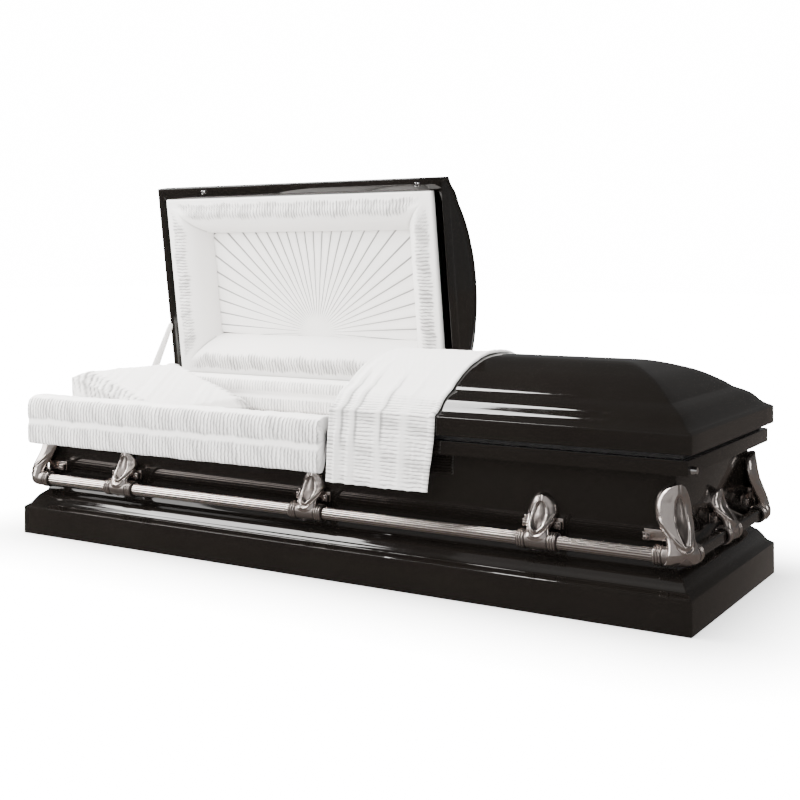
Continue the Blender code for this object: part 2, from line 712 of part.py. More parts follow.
def build_corners(finish):
    """The four corner castings and the lugs that carry them."""
    corner, lug = corner_mesh(), corner_lug_mesh()
    stations = (("back_foot", 1, 1, 0.0), ("back_head", -1, 1, pi / 2),
                ("front_head", -1, -1, pi), ("front_foot", 1, -1, -pi / 2))
    for name, side_x, side_y, turn in stations:
        for kind, mesh in (("corner_", corner), ("corner_lug_", lug)):
            item = bpy.data.objects.new(kind + name, mesh)
            item.location = (side_x * WALL_X, side_y * WALL_Y, 0.0)
            item.rotation_euler = (0.0, 0.0, turn)
            place(item, finish["pewter"])


def reeded_outline():
    """The section of a side bar: shallow convex reeds round a circle."""
    points = []
    for reed in range(BAR_REEDS):
        for share, radius in ((0.0, BAR_RADIUS - REED_DEPTH), (0.5, BAR_RADIUS)):
            turn = 2 * pi * (reed + share) / BAR_REEDS
            points.append((radius * cos(turn), radius * sin(turn)))
    return points


def end_bar_outline():
    """The section of an end bar: flat sides with rounded edges, in the side bars' circle."""
    across = END_BAR_THICKNESS / 2
    up = sqrt(BAR_RADIUS ** 2 - (across * 0.62) ** 2)
    edge = sqrt(BAR_RADIUS ** 2 - across ** 2)
    quarter = [(across, edge), (across * 0.62, up)]
    right = quarter + [(-a, b) for a, b in reversed(quarter)]
    return right + [(-a, -b) for a, b in right]


def build_bars(finish):
    """Reeded bars on the long sides and plain painted ones on the ends."""
    reach = CORNER_LEG - CORNER_SOCKET + SLEEVE_PLAY
    side_half = WALL_X - reach
    end_half = WALL_Y - reach
    for name, y in (("bar_front", -BAR_Y), ("bar_back", BAR_Y)):
        bar = profile_along_x(name, reeded_outline(), -side_half, side_half)
        bar.location = (0.0, y, BAR_HEIGHT)
        place(bar, finish["pewter"])
    for name, x in (("bar_head", -BAR_X), ("bar_foot", BAR_X)):
        bar = outline_object(name, end_bar_outline(), 2 * end_half)
        bar.rotation_euler = (pi / 2, 0.0, 0.0)
        bar.location = (x, 0.0, BAR_HEIGHT)
        place(bar, finish["paint"])


def build_bed(finish):
    """The mattress, the board under it and the two bearers that carry the board."""
    inside = SHEET + LINING_THICKNESS + MATTRESS_CLEARANCE
    half_x, half_y = WALL_X - inside, WALL_Y - inside
    underside = BED_TOP - MATTRESS_THICKNESS
    mattress = object_from(box_bmesh((-half_x, -half_y, underside), (half_x, half_y, BED_TOP)),
                           "mattress")
    place(bevel(mattress, MATTRESS_ROUND, 1), finish["crepe"])
    top = underside - GAP
    low = top - BED_BOARD_THICKNESS
    board = object_from(box_bmesh((-half_x, -half_y, low), (half_x, half_y, top)), "bed_board")
    place(board, finish["steel"])
    for end, side in (("head", -1), ("foot", 1)):
        x = side * (half_x - BEARER_INSET)
        bearer = object_from(box_bmesh((x - BEARER_WIDTH / 2, -half_y, SHEET + GAP),
                                       (x + BEARER_WIDTH / 2, half_y, low - GAP)),
                             "bed_bearer_" + end)
        place(bearer, finish["steel"])


def build_body_lining(finish):
    """The cloth lining round the inside of the body, turned out over its flange."""
    skin = -SHEET - GAP
    face = skin - LINING_THICKNESS
    shelf = FLANGE_TOP + GAP
    under = FLANGE_TOP - SHEET - GAP
    turned = -FLANGE_TURN_IN - GAP
    swell_foot = FLANGE_TOP - LINING_SWELL_FOOT
    lining = wall_ring("body_lining", [
        (skin, LINING_BOTTOM), (skin, under), (turned, under), (turned, shelf),
        (LINING_TURN_OUT, shelf), (LINING_TURN_OUT, shelf + LINING_TURN_THICKNESS),
        (turned - LINING_SWELL, shelf + LINING_TURN_THICKNESS),
        (face - LINING_SWELL, shelf - LINING_TURN_DROP), (face - LINING_SWELL, swell_foot),
        (face, swell_foot - LINING_SWELL), (face, LINING_BOTTOM)],
        closed=True)
    place(lining, finish["crepe"])


def build_front_roll(finish):
    """The gathered cloth roll that laps over the front flange beside the open lid."""
    inner = -FLANGE_Y - ROLL_CLEARANCE
    outer = inner - ROLL_THICKNESS
    under = LID_BOTTOM + GAP
    top = under + ROLL_RISE
    back = inner + ROLL_TURN_IN
    chamfer = ROLL_CHAMFER
    outline = [(inner, ROLL_BOTTOM), (outer + chamfer, ROLL_BOTTOM), (outer, ROLL_BOTTOM + chamfer),
               (outer, top - ROLL_ROUND), (outer + chamfer, top - chamfer),
               (outer + ROLL_ROUND, top), (back - ROLL_ROUND, top), (back - chamfer, top - chamfer),
               (back, under + chamfer / 2), (back - chamfer / 2, under), (inner, under)]
    roll = profile_along_x("front_roll", outline, -LID_X + ROLL_HEAD_SETBACK,
                           HEAD_LID_CUT - ROLL_FOOT_SETBACK)
    place(roll, finish["crepe"])


def build_back_roll(finish):
    """The gathered cloth roll that fills the joint between the body lining and the open lid."""
    inside = SHEET + GAP + LINING_THICKNESS + LINING_SWELL + ROLL_CLEARANCE
    inner = WALL_Y - inside
    outer = FLANGE_Y - ROLL_CLEARANCE
    face = inner - BACK_ROLL_THICKNESS
    under = LID_BOTTOM + GAP
    top = under + BACK_ROLL_RISE
    chamfer = ROLL_CHAMFER
    outline = [(inner, BACK_ROLL_BOTTOM), (inner, under), (outer, under), (outer, top - chamfer),
               (outer - chamfer, top), (face + ROLL_ROUND, top), (face + chamfer, top - chamfer),
               (face, top - ROLL_ROUND), (face, BACK_ROLL_BOTTOM)]
    roll = profile_along_x("back_roll", outline, inside - WALL_X, HEAD_LID_CUT - ROLL_FOOT_SETBACK)
    place(roll, finish["crepe"])


def build_pillow(finish):
    """A soft pillow that leans on the head end."""
    head = -WALL_X + SHEET + LINING_THICKNESS + LINING_SWELL + PILLOW_HEAD_CLEARANCE
    toe = head + PILLOW_RUN
    bm = bmesh.new()
    bmesh.ops.create_cube(bm, size=1.0)
    low = BED_TOP + GAP
    for corner in bm.verts:
        at_head = corner.co.x < 0
        top = PILLOW_TOP if at_head else low + PILLOW_TOE_THICKNESS
        corner.co = (head if at_head else toe, corner.co.y * PILLOW_WIDTH,
                     top if corner.co.z > 0 else low)
    pillow = object_from(bm, "pillow")
    bevel(pillow, PILLOW_ROUND)
    place(pillow, finish["crepe"])


def build_lid_lining(finish, head):
    """The padded border and the recessed panel in the head lid."""
    edge = LID_LIP + LID_LINING_SETBACK
    low = (-LID_X + HIP_RATIO * LID_LIP + LID_LINING_SETBACK, -LID_Y + edge)
    high = (HEAD_LID_CUT - edge, LID_Y - edge)
    width = LID_BORDER_WIDTH
    bottom = LID_BOTTOM - LID_BORDER_DROP
    recess = LID_BOTTOM + LID_PANEL_RECESS
    padding = LID_BORDER_PADDING
    shoulder = (LID_BORDER_SLOPE + width) / 2
    slope_rise = padding / 2
    section = [(0.0, bottom + padding / 3), (-padding / 3, bottom), (-LID_BORDER_BAND, bottom),
               (-LID_BORDER_SLOPE, bottom + slope_rise), (-shoulder, bottom + slope_rise + padding),
               (-width, recess), (-width + padding, recess),
               (-LID_BORDER_SLOPE, bottom + slope_rise + 2 * padding),
               (-LID_BORDER_BAND, bottom + padding + slope_rise), (0.0, bottom + padding)]
    border = object_from(ring_bmesh(section, low, high, closed=True), "lid_lining_border")
    place(border, finish["crepe"], head)
    lap = LID_PANEL_LAP
    panel = object_from(box_bmesh(
        (low[0] + width - lap, low[1] + width - lap, recess + GAP),
        (high[0] - width + lap, high[1] - width + lap, recess + GAP + LID_PANEL_THICKNESS)),
        "lid_lining_panel")
    place(panel, finish["crepe"], head)


def offset_line(points, distance):
    """Shift an open line of points to its left by a distance, with mitred corners."""
    shifted = []
    for index, point in enumerate(points):
        before = Vector(points[max(index - 1, 0)])
        here = Vector(point)
        after = Vector(points[min(index + 1, len(points) - 1)])
        normals = []
        for start, end in ((before, here), (here, after)):
            run = end - start
            if run.length > 1e-9:
                normals.append(Vector((-run.y, run.x)).normalized())
        mean = sum(normals, Vector((0.0, 0.0))).normalized()
        shifted.append(tuple(here + mean * distance / mean.dot(normals[0])))
    return shifted


def build_throw(finish, foot):
    """The cloth laid over the foot lid, hanging down its front."""
    half = [(-(LID_Y - inward), LID_BOTTOM + rise) for inward, rise in lid_profile()]
    back = [(-y, z) for y, z in reversed(half[:-1]) if -y < THROW_BACK_REACH]
    over = half + back
    hem = [(-LID_Y - THROW_FLARE, THROW_HEM), (-LID_Y - THROW_FLARE / 2, LID_BOTTOM - THROW_BEND_DROP)]
    line = hem + over
    inner = offset_line(line, THROW_CLEARANCE)
    outer = offset_line(line, THROW_CLEARANCE + THROW_THICKNESS)
    outline = inner + list(reversed(outer))
    throw = profile_along_x("throw", outline, THROW_START, THROW_START + THROW_WIDTH)
    place(throw, finish["crepe"], foot)


def build_stay(finish):
    """The cloth-covered stay between the body's head end and the open lid."""
    x = -LID_X + HIP_RATIO * LID_LIP - STAY_RADIUS * 2
    open_cos, open_sin = cos(LID_OPEN_ANGLE), sin(LID_OPEN_ANGLE)
    along = -STAY_UP_THE_LID
    under = -STAY_CLEARANCE - STAY_RADIUS
    upper = (x, HINGE_Y + along * open_cos + under * open_sin,
             HINGE_Z - along * open_sin + under * open_cos)
    lower = (x, STAY_FOOT_Y, FLANGE_TOP + GAP + STAY_RADIUS * 3)
    curve = bpy.data.curves.new("lid_stay", "CURVE")
    curve.dimensions = "3D"
    curve.bevel_depth = STAY_RADIUS
    curve.bevel_resolution = 1
    curve.use_fill_caps = True
    spline = curve.splines.new("POLY")
    spline.points.add(1)
    for point, spot in zip(spline.points, (lower, upper)):
        point.co = (*spot, 1.0)
    place(bpy.data.objects.new("lid_stay", curve), finish["crepe"])


def main():
    """Build the whole casket."""
    clear_scene()
    finish = make_materials()
    head = lid_pivot("head_lid_pivot", LID_OPEN_ANGLE)
    foot = lid_pivot("foot_lid_pivot", 0.0)
    build_body(finish)
    build_lids(finish, head, foot)
    build_hinges(finish, head, foot)
    build_latches(finish, head)
    build_arms(finish)
    build_corners(finish)
    build_bars(finish)
    build_bed(finish)
    build_body_lining(finish)
    build_front_roll(finish)
    build_back_roll(finish)
    build_pillow(finish)
    build_lid_lining(finish, head)
    build_throw(finish, foot)
    build_stay(finish)


main()
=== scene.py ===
"""The finished look of a half-couch casket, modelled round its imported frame."""

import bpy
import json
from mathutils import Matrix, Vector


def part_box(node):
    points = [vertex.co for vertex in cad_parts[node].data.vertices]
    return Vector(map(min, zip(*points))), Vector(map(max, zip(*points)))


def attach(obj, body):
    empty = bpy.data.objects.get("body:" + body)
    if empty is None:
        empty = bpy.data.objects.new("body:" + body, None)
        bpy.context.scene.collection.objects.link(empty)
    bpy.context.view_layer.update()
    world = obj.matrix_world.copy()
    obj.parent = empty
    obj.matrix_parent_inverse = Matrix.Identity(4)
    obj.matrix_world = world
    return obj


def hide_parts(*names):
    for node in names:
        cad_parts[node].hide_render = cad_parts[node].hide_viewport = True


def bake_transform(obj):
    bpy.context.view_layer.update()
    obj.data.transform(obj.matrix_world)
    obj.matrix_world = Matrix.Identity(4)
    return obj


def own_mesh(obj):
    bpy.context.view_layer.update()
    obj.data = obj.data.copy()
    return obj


bl_info = {
    "name": "Half-couch casket",
    "version": (1, 0, 0),
    "blender": (4, 5, 0),
    "location": "3D View > Sidebar > Casket",
    "description": "Models and finishes the pieces of a half-couch casket",
    "category": "Object",
}

import json
from math import cos, pi, radians, sin, sqrt

import bmesh
import bpy
import numpy as np
from mathutils import Matrix, Vector

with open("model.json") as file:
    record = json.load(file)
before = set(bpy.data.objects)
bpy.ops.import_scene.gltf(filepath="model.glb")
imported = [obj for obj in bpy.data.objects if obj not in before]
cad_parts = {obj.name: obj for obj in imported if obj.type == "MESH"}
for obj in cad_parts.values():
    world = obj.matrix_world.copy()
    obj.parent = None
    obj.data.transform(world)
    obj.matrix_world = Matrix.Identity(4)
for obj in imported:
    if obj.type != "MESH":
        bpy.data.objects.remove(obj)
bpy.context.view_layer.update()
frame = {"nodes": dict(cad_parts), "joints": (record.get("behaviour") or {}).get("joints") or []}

# Sizes read from the frame
LID_LOW, LID_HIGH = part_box("foot_lid_shell")
BASE_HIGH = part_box("base_moulding")[1]
BODY_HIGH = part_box("body_shell")[1]
LID_X, LID_Y, RIDGE_Z = LID_HIGH
LID_BOTTOM = LID_LOW[2]
FOOT_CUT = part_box("foot_lid_header")[0][0]
HEAD_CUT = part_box("head_lid_header")[1][0]
FLANGE_TOP = BODY_HIGH[2]
HINGE = Vector(frame["joints"][0]["pos_m"])

# Sizes of the construction that the boxes don't give
SHEET = 0.0012
FLANGE_OUT = 0.042
FLANGE_LOW = 0.357
FLANGE_TURN_IN = 0.014
WALL_X = BODY_HIGH[0] - FLANGE_OUT
WALL_Y = BODY_HIGH[1] - FLANGE_OUT
BASE_OUT = BASE_HIGH[0] - WALL_X
BASE_FACE = 0.0825
LID_LIP = 0.038
HIP_RATIO = 0.875
OPEN_ANGLE = radians(82)
BAR_Z = 0.171
BAR_OFF = 0.0325
BAR_RADIUS = 0.0165
SLEEVE_RADIUS = 0.0235
SLEEVE_HALF = 0.052
SLEEVE_BORE = BAR_RADIUS + 0.0006
CASTING_STEPS = 40
ELBOW_LEG, ELBOW_BEND = 0.0400, 0.030
LUG_LOW, LUG_HIGH = 0.197, 0.223
EAR_Z = 0.2075
EAR_HALF = 0.009
EAR_OUT = 0.0172
NECK_LOW, NECK_HIGH = 0.199, 0.221
CLOTH_CORNER = 0.004
ARM_X = (-0.680, 0.0, 0.680)

# Carries the points of a closed lid to where the open head lid holds them
SWING = (Matrix.Translation(HINGE) @ Matrix.Rotation(-OPEN_ANGLE, 4, "X")
         @ Matrix.Translation(-HINGE))

# How the lid rises from its rim to the ridge: (distance in from the edge, height over the rim)
LID_RIM = ((0.0, 0.0), (0.0, 0.0462), (0.003, 0.0475))
LID_COVE = ((0.003, 0.0475), (0.008, 0.0505), (0.016, 0.054), (0.029, 0.0625), (0.040, 0.0735),
            (0.047, 0.0805), (0.056, 0.0867), (0.069, 0.0935), (0.081, 0.0985), (0.0945, 0.104))
LID_CROWN = ((0.0945, 0.104), (0.108, 0.1145), (0.135, 0.1305), (0.161, 0.144), (0.188, 0.155),
             (0.2275, 0.167), (0.254, 0.174), (0.280, 0.179), (0.306, 0.182), (0.3485, 0.184))

# The base's ogee: (share of the overhang inward, height)
OGEE = ((0.0, 0.0825), (0.08, 0.0859), (0.233, 0.0916), (0.326, 0.0975), (0.40, 0.1045),
        (0.466, 0.1098), (0.534, 0.1150), (0.635, 0.1210), (0.783, 0.1268), (0.891, 0.1325),
        (0.936, 0.1391), (0.975, 0.150))

# The spoon of a straight arm: (height, distance out) and (height, share of the full width).
# A corner's spoon stretches the heights over the neck.
SPOON_FOOT, SPOON_NECK, SPOON_RISE = 0.1475, 0.190, 0.088
SPOON_OUT = ((SPOON_FOOT, 0.0274), (0.150, 0.0367), (0.156, 0.046), (0.165, 0.0533),
             (0.180, 0.0552), (0.191, 0.0524), (0.206, 0.0478), (0.219, 0.0385),
             (0.234, 0.0274), (0.251, 0.0205), (0.265, 0.0190), (0.278, 0.0165))
SPOON_WIDE = ((SPOON_FOOT, 0.94), (0.172, 0.94), (0.180, 0.91), (0.188, 0.85), (0.196, 0.80),
              (0.204, 0.81), (0.212, 0.87), (0.222, 0.95), (0.235, 1.0), (0.278, 1.0))

# The throw's long folds: (place across, width, height, lean)
THROW_FOLDS = ((0.030, 0.0090, 0.0095, 0.10), (0.072, 0.0080, 0.0080, 0.12),
               (0.150, 0.0095, 0.0050, 0.05), (0.222, 0.0085, 0.0045, 0.03))


class CasketSizes(bpy.types.PropertyGroup):
    """Sizes of the finished pieces."""

    gather_pitch: bpy.props.FloatProperty(
        name="Gather pitch", description="Distance between the gathers of the shirred cloth",
        default=0.0120, min=0.004, max=0.05, unit="LENGTH")
    gather_depth: bpy.props.FloatProperty(
        name="Gather depth", description="Height of the gathers of the shirred cloth",
        default=0.0050, min=0.0, max=0.01, unit="LENGTH")
    rib_pitch: bpy.props.FloatProperty(
        name="Throw rib pitch", description="Distance between the ribs of the hanging throw",
        default=0.0098, min=0.004, max=0.05, unit="LENGTH")
    border_pitch: bpy.props.FloatProperty(
        name="Border gather pitch", description="Distance between the gathers of the lid's border",
        default=0.0113, min=0.004, max=0.05, unit="LENGTH")
    pleats: bpy.props.IntProperty(
        name="Pleats", description="Number of ray pleats in the lid's panel",
        default=30, min=8, max=80)
    reeds: bpy.props.IntProperty(
        name="Reeds", description="Number of reeds round a side bar", default=14, min=6, max=30)
    reed_depth: bpy.props.FloatProperty(
        name="Reed depth", description="Depth of the grooves between the reeds",
        default=0.0013, min=0.0, max=0.004, unit="LENGTH")


class CasketColours(bpy.types.PropertyGroup):
    """Colours of the finishes."""

    paint: bpy.props.FloatVectorProperty(
        name="Paint", description="Gloss enamel of the body and lids", subtype="COLOR",
        default=(0.0040, 0.0034, 0.0029), min=0.0, max=1.0)
    pewter: bpy.props.FloatVectorProperty(
        name="Pewter", description="Plated castings and side bars", subtype="COLOR",
        default=(0.66, 0.595, 0.56), min=0.0, max=1.0)
    cloth: bpy.props.FloatVectorProperty(
        name="Cloth", description="Crepe of the interior and the throw", subtype="COLOR",
        default=(0.712, 0.694, 0.674), min=0.0, max=1.0)


def sizes():
    """The sizes in use."""
    return bpy.context.scene.casket_sizes


def colours():
    """The colours in use."""
    return bpy.context.scene.casket_colours


class Value:
    """A shader socket whose arithmetic adds Math nodes to its tree."""

    def __init__(self, graph, socket):
        self.graph = graph
        self.socket = socket

    def join(self, operation, first, second):
        made = self.graph.node("ShaderNodeMath", {"operation": operation}, {0: first, 1: second})
        return Value(self.graph, made.outputs[0])

    def __add__(self, other):
        return self.join("ADD", self, other)

    __radd__ = __add__

    def __mul__(self, other):
        return self.join("MULTIPLY", self, other)

    __rmul__ = __mul__

    def __sub__(self, other):
        return self.join("SUBTRACT", self, other)

    def __rsub__(self, other):
        return self.join("SUBTRACT", other, self)


class Graph:
    """The node tree of a material or of the world, with one method that adds a node."""

    def __init__(self, owner, shader):
        owner.use_nodes = True
        self.owner = owner
        self.tree = owner.node_tree
        self.shader = self.tree.nodes[shader]
        self.place = self.coordinate("Object")

    def feed(self, socket, value):
        if isinstance(value, Value):
            value = value.socket
        if isinstance(value, bpy.types.NodeSocket):
            self.tree.links.new(value, socket)
        else:
            socket.default_value = value

    def node(self, kind, settings=None, inputs=None):
        made = self.tree.nodes.new(kind)
        for key, value in (settings or {}).items():
            setattr(made, key, value)
        for key, value in (inputs or {}).items():
            self.feed(made.inputs[key], value)
        return made

    def noise(self, scale, detail, stretch=(1.0, 1.0, 1.0)):
        spot = self.node("ShaderNodeMapping", None, {"Vector": self.place, "Scale": stretch})
        made = self.node("ShaderNodeTexNoise", None, {
            "Vector": spot.outputs[0], "Scale": scale, "Detail": detail})
        return Value(self, made.outputs["Fac"])

    def coordinate(self, name):
        return self.node("ShaderNodeTexCoord").outputs[name]

    def path(self, name):
        return Value(self, self.node("ShaderNodeLightPath").outputs[name])

    def ranged(self, value, low, high, to_low=0.0, to_high=1.0):
        made = self.node("ShaderNodeMapRange", {"interpolation_type": "SMOOTHSTEP"}, {
            "Value": value, "From Min": low, "From Max": high, "To Min": to_low, "To Max": to_high})
        return Value(self, made.outputs[0])

    def vector(self, operation, first, second=None):
        inputs = {0: first} if second is None else {0: first, 1: second}
        return self.node("ShaderNodeVectorMath", {"operation": operation}, inputs).outputs[0]

    def mix(self, factor, first, second):
        made = self.node("ShaderNodeMix", {"data_type": "RGBA"}, {
            "Factor": factor, 6: (*first, 1.0), 7: (*second, 1.0)})
        return made.outputs[2]

    def attribute(self, name):
        made = self.node("ShaderNodeAttribute", {"attribute_name": name})
        return Value(self, made.outputs["Fac"])

    def bump(self, height, distance, strength):
        made = self.node("ShaderNodeBump", None, {
            "Height": height, "Distance": distance, "Strength": strength})
        self.feed(self.shader.inputs["Normal"], made.outputs[0])

    def set(self, **values):
        for key, value in values.items():
            self.feed(self.shader.inputs[key.replace("_", " ")], value)


def surface(name):
    """The graph of a new material."""
    return Graph(bpy.data.materials.new(name), "Principled BSDF")


def shade(colour, factor):
    """A colour made darker or lighter."""
    return tuple(min(1.0, part * factor) for part in colour)


def paint_material():
    """Deep gloss enamel with a faint unevenness, as sprayed steel has."""
    g = surface("gloss_black_paint_finish")
    base = tuple(colours().paint)
    cloud = g.noise(3.0, 3.0)
    g.set(Base_Color=g.mix(cloud, shade(base, 0.7), shade(base, 1.5)), Metallic=0.0)
    g.set(Roughness=g.ranged(g.noise(40.0, 4.0), 0.3, 0.7, 0.05, 0.09))
    g.set(Specular_IOR_Level=0.28, Coat_Weight=0.3, Coat_Roughness=0.03)
    g.bump(g.noise(260.0, 1.0), 0.00001, 0.2)
    return g.owner


def pewter_material():
    """Bright antique pewter, darker and rougher in its recesses."""
    g = surface("antique_pewter_finish")
    base = tuple(colours().pewter)
    worn = g.ranged(g.attribute("recess"), 0.05, 0.9)
    haze = g.noise(55.0, 4.0)
    tone = g.ranged(worn * 0.85 + haze * 0.25, 0.05, 1.0)
    g.set(Base_Color=g.mix(tone, base, (0.12, 0.105, 0.098)), Metallic=1.0)
    g.set(Roughness=g.ranged(worn * 0.7 + haze * 0.3, 0.0, 1.0, 0.17, 0.48))
    g.bump(g.noise(420.0, 2.0), 0.00004, 0.5)
    return g.owner


def metal_material(name, colour, smooth, rough, grain):
    """A plain bright metal with faint grain."""
    g = surface(name)
    haze = g.noise(grain, 4.0, (1.0, 6.0, 1.0))
    g.set(Base_Color=g.mix(haze, shade(colour, 0.85), shade(colour, 1.05)), Metallic=1.0)
    g.set(Roughness=g.ranged(haze, 0.2, 0.8, smooth, rough))
    g.bump(haze, 0.00005, 0.4)
    return g.owner


def rubber_material():
    """Matt black rubber."""
    g = surface("black_rubber_finish")
    dust = g.noise(120.0, 4.0)
    g.set(Base_Color=g.mix(dust, (0.008, 0.008, 0.008), (0.025, 0.024, 0.023)), Metallic=0.0)
    g.set(Roughness=g.ranged(dust, 0.2, 0.8, 0.7, 0.9))
    g.bump(dust, 0.0001, 0.5)
    return g.owner


def crepe_material(name, factor, crinkle):
    """White crepe: a fine crinkle over a barely seen weave, with painted shade in its folds."""
    g = surface(name)
    base = shade(tuple(colours().cloth), factor)
    broad = g.noise(7.0, 3.0)
    fine = g.noise(330.0, 3.0)
    crimp = g.noise(120.0, 2.0, (1.0, 1.0, 0.35))
    # Painted shade: the recess value darkens the cloth in its gathers, folds, creases and pleats,
    # where shade falls; the broad noise is a random tone.
    fold = g.ranged(g.attribute("recess"), 0.0, 1.0)
    g.set(Base_Color=g.mix(g.ranged(broad * 0.12 + fold, 0.05, 1.0), base, shade(base, 0.26)),
          Metallic=0.0)
    g.set(Roughness=g.ranged(fine, 0.2, 0.8, 0.78, 0.92))
    g.set(Sheen_Weight=0.25, Sheen_Roughness=0.5, Specular_IOR_Level=0.25)
    g.bump(crimp * 0.7 + fine * 0.5, 0.0012, crinkle)
    return g.owner


MATERIALS = {}


def finish(name):
    """The material of a slot, made once."""
    if name not in MATERIALS:
        made = {
            "gloss_black_paint": paint_material,
            "antique_pewter": pewter_material,
            "chrome": lambda: metal_material("chrome_finish", (0.82, 0.82, 0.82), 0.06, 0.12, 60.0),
            "plain_steel": lambda: metal_material("plain_steel_finish", (0.36, 0.36, 0.37),
                                                  0.32, 0.48, 90.0),
            "black_rubber": rubber_material,
            "white_crepe": lambda: crepe_material("white_crepe_finish", 1.0, 0.42),
            # Painted light: the smooth crepe of the pleated panel and the mattress is made 6 %
            # brighter than the white crepe, lifting the shade inside the open lid.
            "smooth_crepe": lambda: crepe_material("smooth_crepe_finish", 1.06, 0.16),
        }
        MATERIALS[name] = made[name]()
    return MATERIALS[name]


def ease(low, high, value):
    """A smooth step from 0 to 1, on arrays."""
    share = np.clip((value - low) / (high - low), 0.0, 1.0)
    return share * share * (3 - 2 * share)


def hump(centre, width, value):
    """A soft bump round a centre, on arrays."""
    return np.exp(-((value - centre) / width) ** 2)


def powered(value, exponent):
    """A power that keeps the sign, on arrays."""
    return np.sign(value) * np.abs(value) ** exponent


def smoothed(values, passes):
    """Values evened out along their first axis, with the ends kept."""
    for _ in range(passes):
        values[1:-1] = (values[:-2] + 2 * values[1:-1] + values[2:]) / 4
    return values


def waver(value, seed):
    """A smooth irregular wave of about unit height along a length in metres."""
    octaves = 5
    rng = np.random.default_rng(seed)
    total = np.zeros_like(value)
    for octave in range(1, octaves + 1):
        rate = 6.0 * octave ** 1.6 * rng.uniform(0.8, 1.3)
        total = total + np.sin(value * rate + rng.uniform(0, 2 * pi)) / octave ** 0.6
    return total / sqrt(octaves)


def gathers(along, across, pitch, seed):
    """Shirred cloth: rounded ridges with sharp valleys, uneven in spacing and height."""
    drift = 1.5 * waver(along, seed) + 0.45 * waver(across * 11 + along * 4, seed + 1)
    phase = pi * along / pitch + drift
    ridge = np.abs(np.sin(phase)) ** 0.75
    fine = np.abs(np.sin(phase * 1.73 + 2.1 * waver(across * 7, seed + 2) + 0.6))
    height = 0.80 + 0.20 * waver(along * 9 + across * 5, seed + 3)
    return np.clip((0.72 * ridge + 0.28 * fine) * height, 0.0, 1.1)


def fair(points, count):
    """A smooth line through points, resampled evenly."""
    p = np.array(points, float)
    ends = np.vstack((2 * p[0] - p[1], p, 2 * p[-1] - p[-2]))
    found = []
    for k in range(1, len(ends) - 2):
        t = np.linspace(0, 1, count, endpoint=False)[:, None]
        a, b, c, d = ends[k - 1:k + 3]
        found.append(0.5 * (2 * b + (c - a) * t + (2 * a - 5 * b + 4 * c - d) * t ** 2
                            + (3 * b - a - 3 * c + d) * t ** 3))
    line = np.vstack(found + [p[-1:]])
    return even(line, count)


def run_of(line):
    """How far along a line each of its points lies."""
    return np.concatenate(([0.0], np.cumsum(np.linalg.norm(np.diff(line, axis=0), axis=1))))


def unit(vectors):
    """Vectors brought to a length of one."""
    return vectors / np.linalg.norm(vectors, axis=1)[:, None]


def even(line, count):
    """A line resampled to evenly spaced points."""
    run = run_of(line)
    want = np.linspace(0, run[-1], count)
    return np.column_stack([np.interp(want, run, line[:, k]) for k in range(line.shape[1])])


def soften(points, radius, steps):
    """A line with each inner corner rounded."""
    p = np.array(points, float)
    found = [p[0]]
    for before, here, after in zip(p[:-2], p[1:-1], p[2:]):
        back, ahead = before - here, after - here
        near = min(radius, 0.45 * np.linalg.norm(back), 0.45 * np.linalg.norm(ahead))
        start = here + back / np.linalg.norm(back) * near
        end = here + ahead / np.linalg.norm(ahead) * near
        for t in np.linspace(0, 1, steps + 1):
            found.append((1 - t) ** 2 * start + 2 * t * (1 - t) * here + t * t * end)
    found.append(p[-1])
    return np.array(found)


def started(kind, **settings):
    """A bmesh that starts from one of its own shapes."""
    bm = bmesh.new()
    getattr(bmesh.ops, kind)(bm, **settings)
    return bm


def mesh_from(bm, name):
    """The mesh of a bmesh, which is then freed."""
    mesh = bpy.data.meshes.new(name)
    bm.to_mesh(mesh)
    bm.free()
    return mesh


def placed(name, data):
    """A new object in the scene."""
    item = bpy.data.objects.new(name, data)
    bpy.context.scene.collection.objects.link(item)
    return item


def write_patina_and_shade(mesh, values):
    """Keep a darkening value for each point in the recess attribute: for pewter the antique patina
    of its hollows, for cloth painted shade in its folds.
    """
    recess = mesh.attributes.new("recess", "FLOAT", "POINT")
    whole = np.broadcast_to(values, len(mesh.vertices)).astype(np.float32)
    recess.data.foreach_set("value", whole)


def sheet_mesh(name, columns, rows, shape):
    """A grid laid on a surface. shape takes column and row numbers and gives x, y, z and a
    darkening value: patina in pewter hollows, painted shade on cloth.
    """
    mesh = mesh_from(started("create_grid", x_segments=columns, y_segments=rows, size=0.5), name)
    flat = np.empty(len(mesh.vertices) * 3)
    mesh.vertices.foreach_get("co", flat)
    flat = flat.reshape(-1, 3) + 0.5
    found = shape(np.rint(flat[:, 0] * columns).astype(int), np.rint(flat[:, 1] * rows).astype(int))
    mesh.vertices.foreach_set("co", np.column_stack(np.broadcast_arrays(*found[:3])).ravel())
    write_patina_and_shade(mesh, found[3] if len(found) > 3 else 0.0)
    return mesh


def moved(mesh, change):
    """A mesh put through a matrix, with its faces kept outward."""
    mesh.transform(change)
    if change.determinant() < 0:
        mesh.flip_normals()
    return mesh


